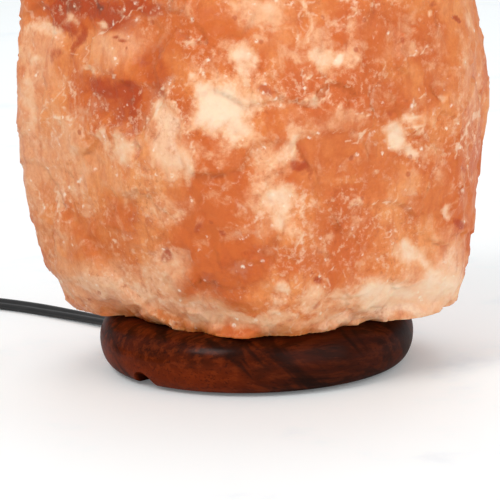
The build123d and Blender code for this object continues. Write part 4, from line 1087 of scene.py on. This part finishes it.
# %% Node group: worked surface
def worked_surface_group():
    """Shade is a mask of tone, Gloss a mask of rubbed spots and Height a fine relief."""
    tree = bpy.data.node_groups.new("worked_surface", "ShaderNodeTree")
    sockets = tree.interface
    sockets.new_socket(name="Place", in_out="INPUT", socket_type="NodeSocketVector")
    for name, value in (("Size", 0.004), ("Stretch", 1.0), ("Relief", 1.0)):
        socket = sockets.new_socket(name=name, in_out="INPUT", socket_type="NodeSocketFloat")
        socket.default_value = value
    for name in ("Shade", "Gloss", "Height"):
        sockets.new_socket(name=name, in_out="OUTPUT", socket_type="NodeSocketFloat")
    given = tree.nodes.new("NodeGroupInput").outputs
    result = tree.nodes.new("NodeGroupOutput")
    stretch = put(tree, "ShaderNodeCombineXYZ", X=1.0, Y=1.0, Z=given["Stretch"])
    drawn = vector("MULTIPLY", given["Place"], stretch.outputs[0]).outputs[0]
    scale = calc("DIVIDE", 1.0, given["Size"])

    def noise(where, finer, detail, roughness):
        values = {"Scale": times(scale, finer), "Detail": detail, "Roughness": roughness}
        return put(tree, "ShaderNodeTexNoise", Vector=where, **values).outputs["Fac"]

    feed(
        result,
        Shade=step_mask(noise(drawn, 1.0, 5.0, 0.6), 0.32, 0.7),
        Gloss=step_mask(noise(given["Place"], 0.45, 3.0, 0.5), 0.48, 0.68),
        Height=times(noise(drawn, 9.0, 4.0, 0.65), given["Relief"]),
    )
    return tree


worked_surface = worked_surface_group()


def finish(name, dark, light, rough, size, depth, metal=0.0, stretch=1.0, relief=1.0, coat=0.0):
    """Two tones, a roughness with rubbed spots, and relief that is at most depth metres deep."""
    material, tree, look = new_material(name)
    surface = put(
        tree, "ShaderNodeGroup", {"node_tree": worked_surface}, Place=object_place(tree),
        Size=size, Stretch=stretch, Relief=relief,
    ).outputs
    shine = calc("MULTIPLY_ADD", surface["Gloss"], -0.35 * rough, rough)
    shine = calc("MULTIPLY_ADD", surface["Shade"], 0.08, shine)
    tone = blend_paint(surface["Shade"], paint(*dark), paint(*light))
    feed(look, Base_Color=tone, Roughness=shine, Metallic=metal)
    if coat:
        feed(look, Coat_Weight=coat, Coat_Roughness=0.08)
    bump(look, surface["Height"], depth, 0.6)
    return material


# %% Mouldings, felt, nylon and cord
dress(
    finish("moulded_black", (20, 20, 21), (30, 30, 31), 0.46, 0.009, 0.00008),
    "bottom_cover", "contact_block", "dimmer_lower", "dimmer_upper", "cord_tie", "plug_body",
)
dress(
    finish("phenolic_black", (15, 14, 14), (24, 23, 23), 0.2, 0.012, 0.00002, coat=0.3),
    "holder_sleeve", "dimmer_pot",
)
cord_vinyl = finish("cord_vinyl", (17, 17, 18), (27, 27, 28), 0.38, 0.007, 0.00005, relief=0.7)
dress(cord_vinyl, "cord_relief", "lamp_cord", "feed_cord", "cord_coil", "plug_cord")
for flex in (lamp_flex, supply_flex):
    flex.data.materials.append(cord_vinyl)
dress(finish("felt", (17, 17, 17), (44, 43, 42), 0.95, 0.0012, 0.0005, relief=2.0), "felt_feet")
dress(finish("plug_nylon", (136, 138, 139), (158, 160, 161), 0.5, 0.005, 0.00006), "wall_plugs")
dress(finish("wheel_grey", (66, 67, 69), (84, 85, 87), 0.5, 0.004, 0.00008), "dimmer_wheel")
dress(
    finish("bulb_insulator", (12, 11, 16), (28, 24, 36), 0.18, 0.003, 0.00001, coat=0.4),
    "bulb_insulator",
)
dress(
    finish("board_green", (18, 74, 43), (30, 96, 58), 0.32, 0.005, 0.00003, coat=0.3),
    "dimmer_board",
)

# %% Metals
for name, dark, light, rough, size, depth, stretch, pieces in (
    (
        "zinc_steel", (168, 172, 176), (206, 209, 211), 0.32, 0.004, 0.00002, 1.0,
        "base_screws clip_plate clip_rivets cover_screws holder_screws dimmer_screws",
    ),
    ("spring_steel", (120, 124, 130), (162, 166, 172), 0.3, 0.003, 0.00002, 0.2, "spring_clips"),
    (
        "brass", (182, 142, 68), (216, 180, 104), 0.28, 0.004, 0.00002, 1.0,
        "holder_thread centre_contact terminal_screws plug_blades",
    ),
    ("nickel", (176, 172, 162), (208, 205, 196), 0.24, 0.003, 0.00002, 1.0, "bulb_cap bulb_leads"),
    ("core_copper", (176, 98, 62), (214, 136, 92), 0.34, 0.0015, 0.00004, 0.1, "core_wires"),
    ("solder", (142, 145, 148), (186, 189, 191), 0.36, 0.0012, 0.00008, 1.0, "bulb_tip"),
    ("tungsten", (84, 82, 80), (122, 119, 114), 0.42, 0.0004, 0.00002, 1.0, "bulb_filament"),
):
    metal = finish(name, dark, light, rough, size, depth, metal=1.0, stretch=stretch)
    dress(metal, *pieces.split())
print("finishes made:", len(bpy.data.materials))

# %% [markdown]
# The bulb's glass is thin and clear. Its transmission is plain, and only a very slight unevenness
# in its surface, as blown glass has, comes from noise.

# %% Clear glass
clear_glass, tree, look = new_material("clear_glass")
draw_marks = grain(squeeze(object_place(tree), (1.0, 1.0, 0.3)), 0.008, detail=2.0)
glass_paint = blend_paint(draw_marks, paint(250, 251, 250), paint(255, 255, 255))
glass_rough = calc("MULTIPLY_ADD", draw_marks, 0.03, 0.01)
feed(look, Base_Color=glass_paint, Roughness=glass_rough, Transmission_Weight=1.0, IOR=1.45)
bump(look, draw_marks, 0.0001, 0.3)
dress(clear_glass, "bulb_glass", "bulb_stem")

# %% [markdown]
# The base is turned from a dense red-brown wood, stained and lacquered. Its grain runs across, so
# the front shows long fibres with darker streaks, and the small pores are drawn out along them. The
# lacquer is a coat over it with its own soft highlight.

# %% Lacquered wood
base_wood, tree, look = new_material("lacquered_wood")
place = object_place(tree)
lie = (0.0, math.radians(6.0), math.radians(24.0))
fibre_place = squeeze(place, (0.16, 1.0, 1.0), lie)
long_fibre = grain(fibre_place, 0.0026, detail=6.0, rough=0.62, warp=0.1)
slow_tone = grain(fibre_place, 0.012, detail=3.0, warp=0.2)
pores = grain(squeeze(place, (0.08, 1.0, 1.0), lie), 0.0009)
slant = squeeze(place, (1.0, 0.35, 0.16), (0.0, math.radians(-42.0), 0.0))
dark_streak = grain(slant, 0.0075, detail=3.0, rough=0.5, warp=0.3)
across = put(tree, "ShaderNodeSeparateXYZ", Vector=place).outputs
# Painted light: the lower left of the base's side is made redder and lighter, where light falls on
# it
painted_light_left = opposite(step_mask(across["X"], -0.03, 0.012))
painted_light_low = opposite(step_mask(across["Z"], 0.006, 0.018))
wood_paint = blend_paint(step_mask(slow_tone, 0.38, 0.62), paint(46, 13, 1), paint(78, 24, 3))
wood_paint = lay(wood_paint, (
    ((112, 43, 12), step_mask(long_fibre, 0.44, 0.64), 0.6),
    # Painted light on the lower left of the side
    ((136, 46, 3), painted_light_left, painted_light_low, 0.5),
    # Painted shade: the right side of the base is darkened
    ((28, 7, 1), step_mask(across["X"], -0.004, 0.03), 0.5),
    ((24, 6, 1), step_mask(dark_streak, 0.52, 0.64), 0.75),
    ((24, 8, 4), step_mask(pores, 0.56, 0.66), 0.5),
))
wood_rough = calc("MULTIPLY_ADD", long_fibre, 0.2, 0.4)
feed(look, Base_Color=wood_paint, Roughness=wood_rough, Specular_IOR_Level=0.02)
feed(look, Coat_Weight=0.11, Coat_Roughness=0.2)
bump(look, calc("MULTIPLY_ADD", pores, -0.6, long_fibre), 0.00012, 0.5)
dress(base_wood, "wooden_base")
print("nodes with a finish:", len(dressed), "left bare:", sorted(set(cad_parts) - dressed))
